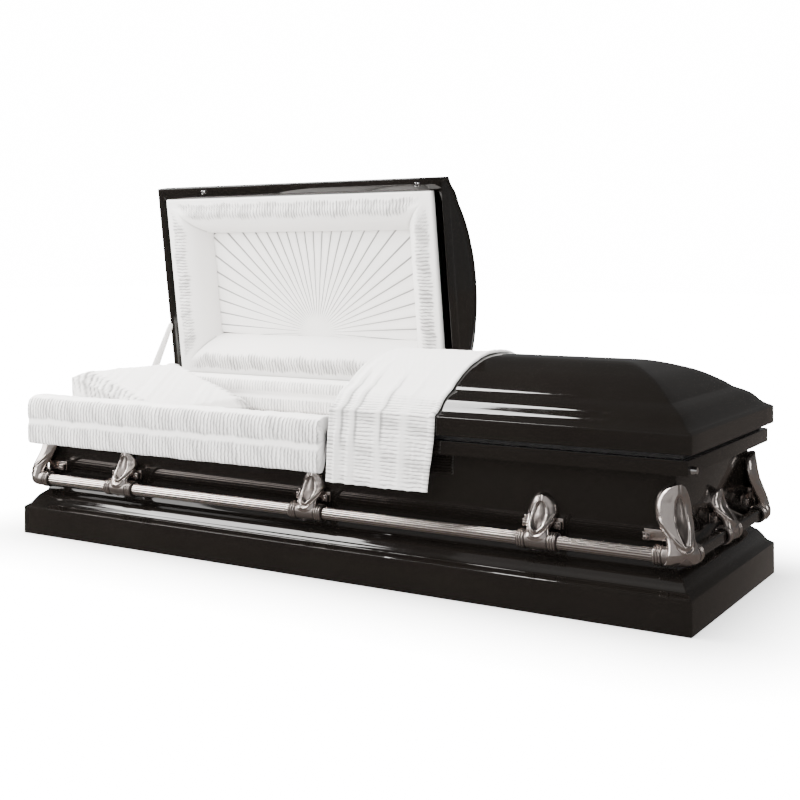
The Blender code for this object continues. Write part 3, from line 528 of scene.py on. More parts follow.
def piece(name, meshes, material, body, node, sharp=35, weld=0.00002, turn_out=False):
    """One finished object from its meshes, riding on a body in place of a CAD node."""
    bm = bmesh.new()
    for mesh in meshes:
        bm.from_mesh(mesh)
    bmesh.ops.remove_doubles(bm, verts=bm.verts, dist=weld)
    bmesh.ops.dissolve_degenerate(bm, dist=weld / 4, edges=bm.edges)
    if turn_out:
        bmesh.ops.recalc_face_normals(bm, faces=bm.faces)
    mesh = mesh_from(bm, name)
    mesh.shade_smooth()
    if sharp:
        mesh.set_sharp_from_angle(angle=radians(sharp))
    mesh.materials.append(finish(material))
    item = placed(name, mesh)
    if body:
        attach(item, body)
    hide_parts(node)
    return item


def wall(item, thickness, even_offset=True):
    """Give a sheet its thickness, inward from its outer face."""
    modifier = item.modifiers.new("sheet", "SOLIDIFY")
    modifier.thickness = thickness
    modifier.offset = -1.0
    modifier.use_even_offset = even_offset


def painted(name, mesh, body, node):
    """A piece of painted sheet steel."""
    wall(piece(name, [mesh], "gloss_black_paint", body, node), SHEET)


def ring_stations(radius_steps, long_steps, short_steps):
    """Stations round a rectangle from its (-,-) corner: corner shares and outward directions."""
    share_x, share_y, turn = [], [], []
    corners = ((-1, -1), (1, -1), (1, 1), (-1, 1))
    for index, (sx, sy) in enumerate(corners):
        start = pi + index * pi / 2
        for step in range(radius_steps + 1):
            share_x.append(sx)
            share_y.append(sy)
            turn.append(start + pi / 2 * step / radius_steps)
        nx, ny = corners[(index + 1) % 4]
        steps = long_steps if index % 2 == 0 else short_steps
        for step in range(1, steps):
            share_x.append(sx + (nx - sx) * step / steps)
            share_y.append(sy + (ny - sy) * step / steps)
            turn.append(start + pi / 2)
    for line in (share_x, share_y, turn):
        line.append(line[0])
    return np.array(share_x), np.array(share_y), np.array(turn)


def ring_place(stations, column, half_x, half_y, radius):
    """Points of a rectangle with rounded corners, at stations round it."""
    share_x, share_y, turn = stations
    return (share_x[column] * (half_x - radius) + radius * np.cos(turn[column]),
            share_y[column] * (half_y - radius) + radius * np.sin(turn[column]))


def ring_mesh(name, profile, radius):
    """A profile of (out, z) swept round the walls, with small rounded corners."""
    stations = ring_stations(4, 1, 1)

    def shape(column, row):
        out, z = profile[row, 0], profile[row, 1]
        return (*ring_place(stations, column, WALL_X + out, WALL_Y + out, radius), z)

    return sheet_mesh(name, len(stations[0]) - 1, len(profile) - 1, shape)


def lid_line():
    """The lid's finished section from its turned-in lip over the rim to the ridge."""
    rim = soften(((LID_LIP, 0.0), *LID_RIM), 0.0018, 5)
    cove = fair(LID_COVE, 34)[1:]
    crown = fair(LID_CROWN, 36)[1:]
    crown[-1] = (LID_Y, RIDGE_Z - LID_BOTTOM)
    return np.vstack((rim, cove, crown))


def lid_top_mesh(name, cut, end):
    """The pressed top of one lid, closed, with its hipped end."""
    line = lid_line()
    toward = 1 if end > cut else -1
    arc_steps, side_steps, end_steps = 6, 10, 8
    kind = [(0, s / side_steps) for s in range(side_steps + 1)]
    kind += [(1, s / arc_steps) for s in range(1, arc_steps + 1)]
    kind += [(2, s / end_steps) for s in range(1, end_steps + 1)]
    kind += [(3, s / arc_steps) for s in range(1, arc_steps + 1)]
    kind += [(4, s / side_steps) for s in range(1, side_steps + 1)]
    kinds = np.array([k for k, s in kind])
    shares = np.array([s for k, s in kind])

    def shape(column, row):
        inward, rise = line[row, 0], line[row, 1]
        side = np.maximum(LID_Y - inward, 0.0)
        hip = end - toward * HIP_RATIO * inward
        radius = np.minimum(0.004 + 0.05 * inward, side)
        k, s = kinds[column], shares[column]
        x = np.where(k == 0, cut + (hip - toward * radius - cut) * s, hip)
        y = np.where(k == 0, -side, 0.0)
        turn = s * pi / 2
        x = np.where(k == 1, hip - toward * radius * (1 - np.sin(turn)), x)
        y = np.where(k == 1, -side + radius * (1 - np.cos(turn)), y)
        y = np.where(k == 2, (-1 + 2 * s) * (side - radius), y)
        x = np.where(k == 3, hip - toward * radius * (1 - np.cos(turn)), x)
        y = np.where(k == 3, side - radius * (1 - np.sin(turn)), y)
        x = np.where(k == 4, hip - toward * radius + (cut - hip + toward * radius) * s, x)
        y = np.where(k == 4, side, y)
        return x, y, LID_BOTTOM + rise

    mesh = sheet_mesh(name, len(kind) - 1, len(line) - 1, shape)
    if toward < 0:
        mesh.flip_normals()
    return mesh


def lid_end_mesh(name, cut, toward):
    """The panel at a lid's cut end: flat, with a rolled outline and one pressed crease."""
    line = lid_line()
    line = line[line[:, 1] > 0.0468]
    line[0, 0] = 0.0
    half = np.column_stack((LID_Y - line[:, 0], LID_BOTTOM + line[:, 1]))
    outline = np.vstack((half * (-1, 1), half[::-1][1:]))
    near, rows, band = 12, 40, 0.024
    level = np.arange(rows + 1)

    def shape(column, row):
        y, top = outline[column, 0], outline[column, 1]
        tall = top - LID_BOTTOM
        close = np.minimum(level[row], near) / near * band
        far = np.maximum(level[row] - near, 0) / (rows - near) * (tall - band)
        z = top - close - far
        edge = np.minimum(top - z, LID_Y - np.abs(y))
        roll = 0.0022 * hump(0.006, 0.0035, edge) - 0.0018 * hump(0.0125, 0.003, edge)
        crease = 0.0016 * ease(0.0, 0.003, z - LID_BOTTOM - 0.046)
        flat = ease(0.012, 0.020, edge)
        x = cut - toward * (roll - crease * flat - 0.0022)
        return x, y, z

    mesh = sheet_mesh(name, len(outline) - 1, rows, shape)
    if toward < 0:
        mesh.flip_normals()
    return mesh


class CASKET_OT_metalwork(bpy.types.Operator):
    """Model the painted sheet-metal body: walls, flange, base moulding, bottom and gasket"""

    bl_idname = "casket.metalwork"
    bl_label = "Body metalwork"

    def execute(self, context):
        walls = soften([(0.0, 0.0), (0.0, FLANGE_LOW), (FLANGE_OUT, FLANGE_LOW),
                        (FLANGE_OUT, FLANGE_TOP), (-FLANGE_TURN_IN, FLANGE_TOP)], 0.0022, 5)
        painted("body_walls", ring_mesh("walls", walls, 0.004), "casket", "body_shell")
        curve = [((1 - share) * BASE_OUT, z) for share, z in OGEE]
        foot = [(BASE_OUT - 0.025, 0.0), (BASE_OUT, 0.0), (BASE_OUT, BASE_FACE),
                (BASE_OUT - 0.001, BASE_FACE + 0.0006)]
        line = np.vstack((soften(foot, 0.0016, 5)[:-1], fair(curve, 60)[1:]))
        painted("base", ring_mesh("base", line, 0.0035), "casket", "base_moulding")
        for node, slot in (("bottom_pan", "gloss_black_paint"), ("gasket", "black_rubber"),
                           ("bed_board", "plain_steel"), ("bed_bearer_head", "plain_steel"),
                           ("bed_bearer_foot", "plain_steel"), ("lock_plug", "chrome")):
            keep_node(node, slot)
        for lid in ("head", "foot"):
            for number in (1, 2):
                for side in ("body", "lid"):
                    keep_node(f"{lid}_hinge_{number}_{side}_leaf", "plain_steel")
        return {"FINISHED"}


def keep_node(name, slot):
    """Give a CAD node that stays its finished material."""
    item = frame["nodes"][name]
    item.data.materials.clear()
    item.data.materials.append(finish(slot))


class CASKET_OT_lids(bpy.types.Operator):
    """Model both lids with their end panels, and the latch strikes of the head lid"""

    bl_idname = "casket.lids"
    bl_label = "Lids"

    def execute(self, context):
        for lid, cut, toward, place in (("foot", FOOT_CUT, 1, Matrix()),
                                        ("head", HEAD_CUT, -1, SWING)):
            top = moved(lid_top_mesh(f"{lid}_top", cut + toward * SHEET, toward * LID_X), place)
            painted(f"{lid}_lid_top", top, f"{lid}_lid", f"{lid}_lid_shell")
            end = moved(lid_end_mesh(f"{lid}_end", cut, toward), place)
            painted(f"{lid}_lid_end", end, f"{lid}_lid", f"{lid}_lid_header")
        for number in (1, 2):
            self.strike(number)
        return {"FINISHED"}

    def strike(self, number):
        """An I-shaped bracket and a small bright block beside it, under the lid's free edge."""
        node = f"latch_strike_{number}"
        low, high = (Vector(corner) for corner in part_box(node))
        up = Vector((0.0, -cos(OPEN_ANGLE), sin(OPEN_ANGLE)))
        out = Vector((0.0, -sin(OPEN_ANGLE), -cos(OPEN_ANGLE)))
        turn = Matrix((Vector((1, 0, 0)), -out, up)).transposed().to_4x4()
        meshes = []
        for across, along, wide, tall in (
                (-0.0045, 0.0, 0.0022, 0.013), (-0.0045, 0.0058, 0.008, 0.0022),
                (-0.0045, -0.0058, 0.008, 0.0022), (0.0050, 0.0, 0.0072, 0.0105)):
            half = Vector((wide / 2, 0.0021, tall / 2))
            mesh = block_mesh(-half, half, 0.0005, segments=2)
            spot = (low + high) / 2 + up * along + Vector((across, 0, 0))
            meshes.append(moved(mesh, Matrix.Translation(spot) @ turn))
        piece(f"strike_{number}", meshes, "chrome", "head_lid", node, turn_out=True)


def spoon_mesh(top, half_width, thick, bow, oval_share, foot_reach):
    """The sculpted spoon of an arm: x across, y out from the wall and z up.

    A rounded dome with a thick rim holds a long recess that ends in a V facet, and U-shaped
    bands run from its sides down over the sleeve.
    """
    columns, low_rows, high_rows = 120, 40, 111
    scale = (top - SPOON_NECK) / SPOON_RISE

    def along(stations):
        """The second numbers of stations, at each height of the mesh."""
        z, value = np.array(stations).T
        return np.interp(height, np.where(z > SPOON_NECK, SPOON_NECK + (z - SPOON_NECK) * scale, z),
                         value)

    rising = np.sin(np.linspace(0, pi / 2, high_rows))
    height = np.concatenate((np.linspace(SPOON_FOOT, SPOON_NECK, low_rows, endpoint=False),
                             SPOON_NECK + (top - SPOON_NECK) * rising))
    reach = smoothed(along(SPOON_OUT) + foot_reach, 8)
    broad = smoothed(along(SPOON_WIDE), 10)
    crest = SPOON_NECK + 0.045 * scale
    dome = np.sqrt(np.clip(1 - (np.clip(height - crest, 0, None) / (top - crest)) ** 2.3, 0, 1))
    heel = np.sqrt(np.clip((height - SPOON_FOOT) / 0.006, 0, 1))
    halves = half_width * broad * dome * heel
    thicks = thick * np.sqrt(np.clip((top - height) / 0.016, 0, 1)) * heel

    def shape(column, row):
        turn = 2 * pi * column / columns
        z, half = height[row], halves[row]
        x = half * powered(np.sin(turn), 0.75)
        deep = powered(np.cos(turn), 0.85)
        front = (deep > 0) * np.abs(deep) ** 0.3
        level = (z - SPOON_NECK) / (top - SPOON_NECK)
        # The recess
        long = np.clip((level - 0.06) / 0.78, 0.0, 1.0)
        wave = np.abs(np.sin(pi * long ** 0.85)) ** np.where(long < 0.4424, 0.95, 0.58)
        oval = half_width * oval_share * wave
        inside = oval - np.abs(x)
        sunk = ease(-0.0005, 0.0026, inside) * (long > 0) * (long < 1)
        middle = np.clip(1 - np.abs(x) / np.maximum(oval, 0.001), 0, 1)
        relief = sunk * (middle * (0.0022 - 0.0068 * ease(0.62, 0.08, long)) - 0.0042)
        relief = relief + 0.0018 * hump(-0.0048, 0.0030, inside) * ease(0.02, 0.12, level)
        # The U-shaped bands
        band = z - (SPOON_NECK + 31.0 * x * x)
        relief = relief + 0.0024 * hump(0.006, 0.0048, band) * (np.abs(x) < half)
        relief = relief - 0.0018 * hump(-0.0025, 0.0015, band)
        relief = relief + 0.0020 * hump(-0.0072, 0.0020, band)
        y = reach[row] + thicks[row] * (deep - 1) + relief * front * heel[row]
        y = y - bow * (x / half_width) ** 2 * ease(-0.02, 0.25, level)
        return x, y, z, np.clip(-relief * 190, 0, 1) * front

    return sheet_mesh("spoon", columns, len(height) - 1, shape)


def ribbed(edge):
    """The radius of a sleeve at a distance from its end: three ribs, then a plain run."""
    ribs = sum(hump(0.004 + 0.0068 * number, 0.0021, edge) for number in range(3))
    return (SLEEVE_RADIUS - 0.0026 + 0.0030 * np.clip(ribs, 0, 1)
            + 0.0009 * ease(0.022, 0.026, edge))


def groove(radius):
    """How deep a radius lies between a sleeve's ribs."""
    return np.clip((SLEEVE_RADIUS - 0.0006 - radius) * 420, 0, 1)


def sleeve_mesh():
    """A straight sleeve round the bar, with three ribs at each end."""
    end, shoulder = SLEEVE_HALF, SLEEVE_RADIUS - 0.0016
    run = np.linspace(-end + 0.0006, end - 0.0006, 150)
    line = np.array([(end, SLEEVE_BORE), (0.0, SLEEVE_BORE), (-end, SLEEVE_BORE), (-end, shoulder),
                     *zip(run, ribbed(end - np.abs(run))), (end, shoulder), (end, SLEEVE_BORE)])

    def shape(column, row):
        turn = 2 * pi * column / CASTING_STEPS
        along, radius = line[row, 0], line[row, 1]
        arch = 0.0010 * hump(3 * pi / 2, 0.55, turn) * ease(0.028, 0.016, np.abs(along))
        reach = radius + arch * (radius > BAR_RADIUS + 0.003)
        return (along, BAR_OFF + reach * np.cos(turn), BAR_Z + reach * np.sin(turn),
                groove(radius))

    return sheet_mesh("sleeve", CASTING_STEPS, len(line) - 1, shape)


def knob_mesh(x, y, z, radius, depth, outward=False):
    """A small domed screw head that points up, or out from the wall."""
    bm = started("create_uvsphere", u_segments=16, v_segments=10, radius=radius)
    bmesh.ops.scale(bm, vec=(1.0, 1.0, depth / radius), verts=bm.verts)
    if outward:
        bmesh.ops.rotate(bm, verts=bm.verts, matrix=Matrix.Rotation(pi / 2, 3, "X"))
    bmesh.ops.translate(bm, vec=(x, y, z), verts=bm.verts)
    return mesh_from(bm, "knob")


def block_mesh(low, high, rounding, segments=3):
    """A block with rounded edges."""
    low, high = Vector(low), Vector(high)
    bm = started("create_cube", size=1.0)
    bmesh.ops.scale(bm, vec=high - low, verts=bm.verts)
    bmesh.ops.translate(bm, vec=(high + low) / 2, verts=bm.verts)
    bmesh.ops.bevel(bm, geom=bm.edges[:], offset=rounding, offset_type="OFFSET",
                    segments=segments, profile=0.5, affect="EDGES", material=-1)
    return mesh_from(bm, "block")


def ear_meshes(x):
    """A square ear whose face carries a raised four-petal boss and a screw."""
    steps, face_half = 36, 0.0074

    def shape(column, row):
        u = (column / steps * 2 - 1) * face_half
        v = (row / steps * 2 - 1) * face_half
        petal = 0.0062 * (0.66 + 0.34 * np.cos(4 * np.arctan2(v, u)))
        beyond = np.hypot(u, v) - petal
        rise = 0.0017 * ease(0.0022, -0.0004, beyond)
        return x + u, EAR_OUT + 0.0001 + rise, EAR_Z + v, 0.8 * ease(0.0, 0.002, beyond)

    face = sheet_mesh("ear_face", steps, steps, shape)
    face.flip_normals()
    ear = block_mesh((x - EAR_HALF, 0.0015, EAR_Z - EAR_HALF),
                     (x + EAR_HALF, EAR_OUT, EAR_Z + EAR_HALF), 0.0016)
    screw = knob_mesh(x, 0.0185, EAR_Z, radius=0.0017, depth=0.0012, outward=True)
    return [ear, face, screw]


def in_place(meshes, spot, turn):
    """Copies of meshes carried to a wall: local y points away from the wall."""
    change = Matrix.Translation(Vector((*spot, 0.0))) @ Matrix.Rotation(turn, 4, "Z")
    return [moved(mesh.copy(), change) for mesh in meshes]


class CASKET_OT_arms(bpy.types.Operator):
    """Model the straight handle arms with their lugs"""

    bl_idname = "casket.arms"
    bl_label = "Handle arms"

    def execute(self, context):
        arm = [spoon_mesh(top=0.278, half_width=0.0375, thick=0.0150, bow=0.006, oval_share=0.44,
                          foot_reach=0.0), sleeve_mesh(),
               block_mesh((-0.019, 0.0035, NECK_LOW), (0.019, 0.026, NECK_HIGH), 0.003),
               knob_mesh(0.012, 0.033, 0.1478, radius=0.0042, depth=0.0022)]
        arm += [knob_mesh(x, 0.018, 0.1845, radius=0.0040, depth=0.0034, outward=True)
                for x in (-0.050, 0.050)]
        lug = [block_mesh((-0.052, 0.0004, LUG_LOW), (0.052, 0.003, LUG_HIGH), 0.001)]
        lug += ear_meshes(-0.042) + ear_meshes(0.042)
        stations = [(f"front_{n}", (x, -WALL_Y), pi) for n, x in enumerate(ARM_X, 1)]
        stations += [(f"back_{n}", (x, WALL_Y), 0.0) for n, x in enumerate(ARM_X, 1)]
        stations += [("foot", (WALL_X, 0.0), -pi / 2), ("head", (-WALL_X, 0.0), pi / 2)]
        for name, spot, turn in stations:
            piece(f"handle_arm_{name}", in_place(arm, spot, turn), "antique_pewter", "casket",
                  f"arm_{name}", sharp=50, turn_out=True)
            piece(f"wall_lug_{name}", in_place(lug, spot, turn), "antique_pewter", "casket",
                  f"lug_{name}", sharp=40)
        return {"FINISHED"}


def elbow_mesh():
    """The elbow of a corner casting: two ribbed sockets joined by a bend."""
    run = ELBOW_LEG + BAR_OFF - ELBOW_BEND
    total = 2 * run + ELBOW_BEND * pi / 2
    along = np.linspace(0, total, 150)
    radius = ribbed(np.minimum(along, total - along))
    along = np.concatenate(([0.02, 0.0], along, [total, total - 0.02]))
    radius = np.concatenate(([SLEEVE_BORE] * 2, radius, [SLEEVE_BORE] * 2))
    turned = np.clip((along - run) / ELBOW_BEND, 0, pi / 2)
    last = np.clip(along - run - ELBOW_BEND * pi / 2, 0, run)
    path_x = -ELBOW_LEG + np.clip(along, 0, run) + ELBOW_BEND * np.sin(turned)
    path_y = BAR_OFF - ELBOW_BEND + ELBOW_BEND * np.cos(turned) - last

    def shape(column, row):
        turn = 2 * pi * column / CASTING_STEPS
        out = radius[row] * np.cos(turn)
        return (path_x[row] + out * np.sin(turned[row]), path_y[row] + out * np.cos(turned[row]),
                BAR_Z + radius[row] * np.sin(turn), groove(radius[row]))

    return sheet_mesh("elbow", CASTING_STEPS, len(along) - 1, shape)


class CASKET_OT_corners(bpy.types.Operator):
    """Model the corner castings with their lugs"""

    bl_idname = "casket.corners"
    bl_label = "Corner castings"

    def execute(self, context):
        reach = BAR_OFF * sqrt(2) - ELBOW_BEND * (sqrt(2) - 1) - BAR_OFF
        diagonal = Matrix.Rotation(-pi / 4, 4, "Z")
        neck = block_mesh((-0.018, 0.006, NECK_LOW), (0.018, 0.030, NECK_HIGH), 0.003)
        spoon = spoon_mesh(top=0.333, half_width=0.044, thick=0.0210, bow=0.020, oval_share=0.34,
                           foot_reach=reach)
        castings = [moved(spoon, diagonal), elbow_mesh(), moved(neck, diagonal)]
        lug = [block_mesh((-0.075, 0.0004, LUG_LOW), (0.003, 0.003, LUG_HIGH), 0.0009),
               block_mesh((0.0004, -0.075, LUG_LOW), (0.003, 0.003, LUG_HIGH), 0.0009)]
        lug += ear_meshes(-0.065)
        lug += [moved(mesh, Matrix.Rotation(-pi / 2, 4, "Z")) for mesh in ear_meshes(0.065)]
        for name, sx, sy, turn in (("back_foot", 1, 1, 0.0), ("back_head", -1, 1, pi / 2),
                                   ("front_head", -1, -1, pi), ("front_foot", 1, -1, -pi / 2)):
            spot = (sx * WALL_X, sy * WALL_Y)
            piece(f"corner_casting_{name}", in_place(castings, spot, turn), "antique_pewter",
                  "casket", f"corner_{name}", sharp=50, turn_out=True)
            piece(f"corner_plate_{name}", in_place(lug, spot, turn), "antique_pewter", "casket",
                  f"corner_lug_{name}", sharp=40)
        return {"FINISHED"}


class CASKET_OT_bars(bpy.types.Operator):
    """Model the reeded side bars and the plain end bars"""

    bl_idname = "casket.bars"
    bl_label = "Bars"

    def execute(self, context):
        self.side_bars()
        self.end_bars()
        return {"FINISHED"}

    def side_bars(self):
        """Round bars with fine reeds."""
        reeds, depth = sizes().reeds, sizes().reed_depth
        steps, rows = reeds * 8, 60
        for side, node in ((-1, "bar_front"), (1, "bar_back")):
            low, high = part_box(node)

            def shape(column, row):
                turn = 2 * pi * column / steps
                valley = 1 - np.abs(np.sin(turn * reeds / 2)) ** 0.6
                radius = BAR_RADIUS - depth * valley
                x = low[0] + (high[0] - low[0]) * row / rows
                y = side * (WALL_Y + BAR_OFF) + radius * np.cos(turn)
                return x, y, BAR_Z + radius * np.sin(turn), ease(0.5, 1.0, valley)

            piece(f"side_{node}", [sheet_mesh(node, steps, rows, shape)], "antique_pewter",
                  "casket", node, sharp=60, turn_out=True)

    def end_bars(self):
        """Painted bars of a rounded square section."""
        steps, rows = 64, 20
        half_x, half_z = 0.0130, 0.0146
        for side, node in ((-1, "bar_head"), (1, "bar_foot")):
            low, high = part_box(node)

            def shape(column, row):
                turn = 2 * pi * column / steps
                x = side * (WALL_X + BAR_OFF) + half_x * powered(np.cos(turn), 0.45)
                z = BAR_Z + half_z * powered(np.sin(turn), 0.55)
                return x, low[1] + (high[1] - low[1]) * row / rows, z

            piece(f"end_{node}", [sheet_mesh(node, steps, rows, shape)], "gloss_black_paint",
                  "casket", node, sharp=60, turn_out=True)


def tube_along_x(name, outline, low, high, columns, relief, rounding):
    """A closed section swept along X with domed ends. relief gives (outward, painted shade)."""
    outline = np.asarray(outline)
    centre = outline.mean(axis=0)
    ahead = np.roll(outline, -1, axis=0) - np.roll(outline, 1, axis=0)
    normal = unit(np.column_stack((ahead[:, 1], -ahead[:, 0])))
    rows = len(outline)

    def shape(column, row):
        row = row % rows
        share = column / columns
        x = low + (high - low) * share
        edge = np.minimum(x - low, high - x)
        size = np.sqrt(np.clip(1 - (1 - np.clip(edge / rounding, 0, 1)) ** 2, 0.0, 1.0))
        y0, z0 = outline[row, 0], outline[row, 1]
        rise, painted_shade = relief(x, y0, z0)
        rise = rise * size
        y = centre[0] + (y0 - centre[0]) * size + normal[row, 0] * rise
        z = centre[1] + (z0 - centre[1]) * size + normal[row, 1] * rise
        return x, y, z, painted_shade

    return sheet_mesh(name, columns, rows, shape)


class CASKET_OT_rolls(bpy.types.Operator):
    """Model the gathered cloth rolls along the front flange and the back joint"""

    bl_idname = "casket.rolls"
    bl_label = "Cloth rolls"

    def execute(self, context):
        self.front_roll(sizes().gather_pitch, sizes().gather_depth)
        self.back_roll(sizes().gather_pitch, sizes().gather_depth)
        return {"FINISHED"}

    def finished(self, side, mesh, fill, anchor, keep):
        """The padded piece of a roll."""
        roll = piece(f"{side}_cloth_roll", [mesh], "white_crepe", "casket", f"{side}_roll",
                     sharp=0, turn_out=True)
        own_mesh(roll)

    def front_roll(self, pitch, depth):
        """Two gathered bands with a seam between them, turned over the front flange."""
        low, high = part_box("front_roll")
        front, back = low[1], high[1]
        line = [(front + 0.012, 0.2825), (front + 0.004, 0.287), (front + 0.0012, 0.298),
                (front + 0.0005, 0.318), (front + 0.0014, 0.336), (front + 0.0030, 0.3475),
                (front + 0.0032, 0.3555), (front + 0.0018, 0.3650), (front + 0.0005, 0.380),
                (front + 0.0012, 0.398), (front + 0.005, 0.4125), (front + 0.012, 0.4225),
                (front + 0.024, 0.4290), (front + 0.045, 0.4305), (front + 0.070, 0.4290),
                (back - 0.012, 0.4250), (back - 0.003, 0.4180), (back, 0.4120),
                (back - 0.004, 0.4080), (back - 0.030, 0.4076), (front + 0.040, 0.4078),
                (front + 0.0325, 0.400),
                (front + 0.0318, 0.350), (front + 0.0318, 0.300), (front + 0.028, 0.2845),
                (front + 0.020, 0.2815), (front + 0.012, 0.2825)]
        outline = fair(line, 111)[:-1]

        def relief(x, y, z):
            outer = ease(front + 0.030, front + 0.018, y)
            ragged = 0.004 * waver(x * 5, 17)
            upper = ease(0.3550, 0.3700, z + ragged) * ease(0.4290, 0.4180, z + 0.5 * ragged)
            lower = ease(0.3500, 0.3360, z + 0.7 * ragged) * ease(0.281, 0.288, z)
            seam = hump(0.3525, 0.0016, z)
            rib = gathers(x, z, pitch, 11) * upper + gathers(x + 0.003, z, pitch * 1.02, 23) * lower
            top = ease(front + 0.018, front + 0.040, y) * (z > 0.42)
            loose = 0.0022 * waver(x * 3, 7) * top + 0.0008 * gathers(x, y, pitch, 11) * top
            puff = 0.0018 * waver(x * 1.4, 3) * outer
            rise = outer * (depth * (rib - 0.35 * (upper + lower)) - 0.0007 * seam) + loose + puff
            rise = rise - 0.0022 * outer * (upper + lower)
            # Painted shade in the valleys between the gathers, and a faint painted shade at the
            # seam and where the roll turns under.
            painted_shade = outer * (1 - rib) * (upper + lower)
            painted_shade = painted_shade + outer * ease(0.372, 0.36, z) * (1 - lower) * 0.13
            return rise, np.clip(painted_shade, 0, 1)

        mesh = tube_along_x("front_roll_cloth", outline, low[0], high[0], 640, relief, 0.010)
        self.finished("front", mesh, fill=0.5, anchor=low[2], keep=0.77)

    def back_roll(self, pitch, depth):
        """A gathered roll with a seam, between the back lining and the lid."""
        low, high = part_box("back_roll")
        face, back, bottom, top = low[1], high[1], low[2], high[2]
        line = [(face + 0.008, bottom), (face + 0.011, bottom + 0.004), (face + 0.0115, 0.385),
                (face + 0.012, 0.4065), (face + 0.030, 0.4078), (back - 0.006, 0.4078),
                (back, 0.4125), (back, top - 0.012), (back - 0.008, top - 0.003),
                (back - 0.024, top), (face + 0.024, top - 0.002), (face + 0.008, top - 0.010),
                (face + 0.0015, top - 0.026),
                (face + 0.001, 0.410), (face + 0.0035, 0.400), (face + 0.001, 0.388),
                (face, 0.370), (face + 0.002, bottom + 0.003), (face + 0.008, bottom)]
        outline = fair(line, 91)[:-1]

        def relief(x, y, z):
            inner = ease(face + 0.016, face + 0.006, y)
            band = ease(0.406, 0.414, z) + ease(0.394, 0.386, z)
            rib = gathers(x, z, pitch * 0.98, 41) * band * inner
            puff = 0.0012 * waver(x * 1.8, 9) * inner
            rise = depth * 0.8 * (rib - 0.4 * band * inner) + puff - 0.0012 * inner
            # The second value is painted shade in the valleys between the gathers.
            return rise, np.clip((band * inner - rib) * 0.8, 0, 1)

        mesh = tube_along_x("back_roll_cloth", outline, low[0], high[0], 520, relief, 0.014)
        self.finished("back", mesh, fill=0.4, anchor=0.36, keep=0.33)


class CASKET_OT_lining(bpy.types.Operator):
    """Model the shirred lining of the body and the mattress"""

    bl_idname = "casket.lining"
    bl_label = "Body lining"

    def execute(self, context):
        pitch, depth = sizes().gather_pitch, sizes().gather_depth
        low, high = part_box("body_lining")
        skin, face = -SHEET - 0.0004, -0.0215
        turned = -FLANGE_TURN_IN - 0.0004
        top = FLANGE_TOP + 0.0004
        out = high[0] - WALL_X
        line = [(skin, 0.121), (skin, FLANGE_TOP - 0.0020), (turned, FLANGE_TOP - 0.0020),
                (turned, top), (out, top), (out, top + 0.0060), (turned + 0.004, top + 0.0068),
                (face + 0.0015, top + 0.0035), (face, top - 0.006), (face + 0.0005, 0.366),
                (face + 0.004, 0.362), (face + 0.0005, 0.358), (face + 0.0015, 0.335),
                (face + 0.006, 0.326), (face + 0.0062, 0.22), (face + 0.0062, 0.121), (skin, 0.121)]
        outline = even(soften(line, 0.0025, 3), 75)
        stations = ring_stations(4, 500, 150)

        def shape(column, row):
            o, z = outline[row, 0], outline[row, 1]
            x, y = ring_place(stations, column, WALL_X + o, WALL_Y + o, CLOTH_CORNER)
            turn = stations[2][column]
            along = np.where(np.abs(np.sin(turn)) > 0.7, x, y)
            inner = ease(turned, face + 0.003, o) * (z > 0.30) * (z < FLANGE_TOP + 0.001)
            band = ease(0.364, 0.370, z) * ease(0.3995, 0.393, z) + ease(0.358, 0.352, z)
            rib = gathers(along, z, pitch, 61) * np.clip(band, 0, 1) * inner
            rise = -depth * 0.65 * (np.clip(band, 0, 1) * inner - rib)
            # The fourth value is painted shade in the valleys between the gathers.
            return (x - rise * np.cos(turn), y - rise * np.sin(turn), z,
                    np.clip((band * inner - rib) * 0.8, 0, 1))

        mesh = sheet_mesh("lining", len(stations[0]) - 1, len(outline) - 1, shape)
        lining = piece("body_cloth_lining", [mesh], "white_crepe", "casket", "body_lining",
                       sharp=0, turn_out=True)
        self.mattress()
        return {"FINISHED"}

    def mattress(self):
        """A crowned mattress with a welted edge and shallow tufts."""
        low, high = (Vector(corner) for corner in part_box("mattress"))
        middle, half = (low + high) / 2, (high - low) / 2
        steps, rows, corner = 160, 60, 0.16

        def shape(column, row):
            turn = 2 * pi * column / steps
            lift = -pi / 2 + pi * row / rows
            size = powered(np.cos(lift), 0.12)
            tall = powered(np.sin(lift), 0.35)
            x = half.x * powered(np.cos(turn), corner) * size
            y = half.y * powered(np.sin(turn), corner) * size
            tuft = np.cos(x / 0.20 * pi) ** 2 * np.cos(y / 0.18 * pi) ** 2
            z = middle.z + half.z * tall - 0.006 * tuft * (row > 40)
            # The fourth value is painted shade in the dips of the tufts.
            return middle.x + x, middle.y + y, z, 0.5 * tuft

        mesh = sheet_mesh("mattress_cloth", steps, rows, shape)
        item = piece("mattress_pad", [mesh], "smooth_crepe", "casket", "mattress", sharp=0,
                     weld=0.0002, turn_out=True)


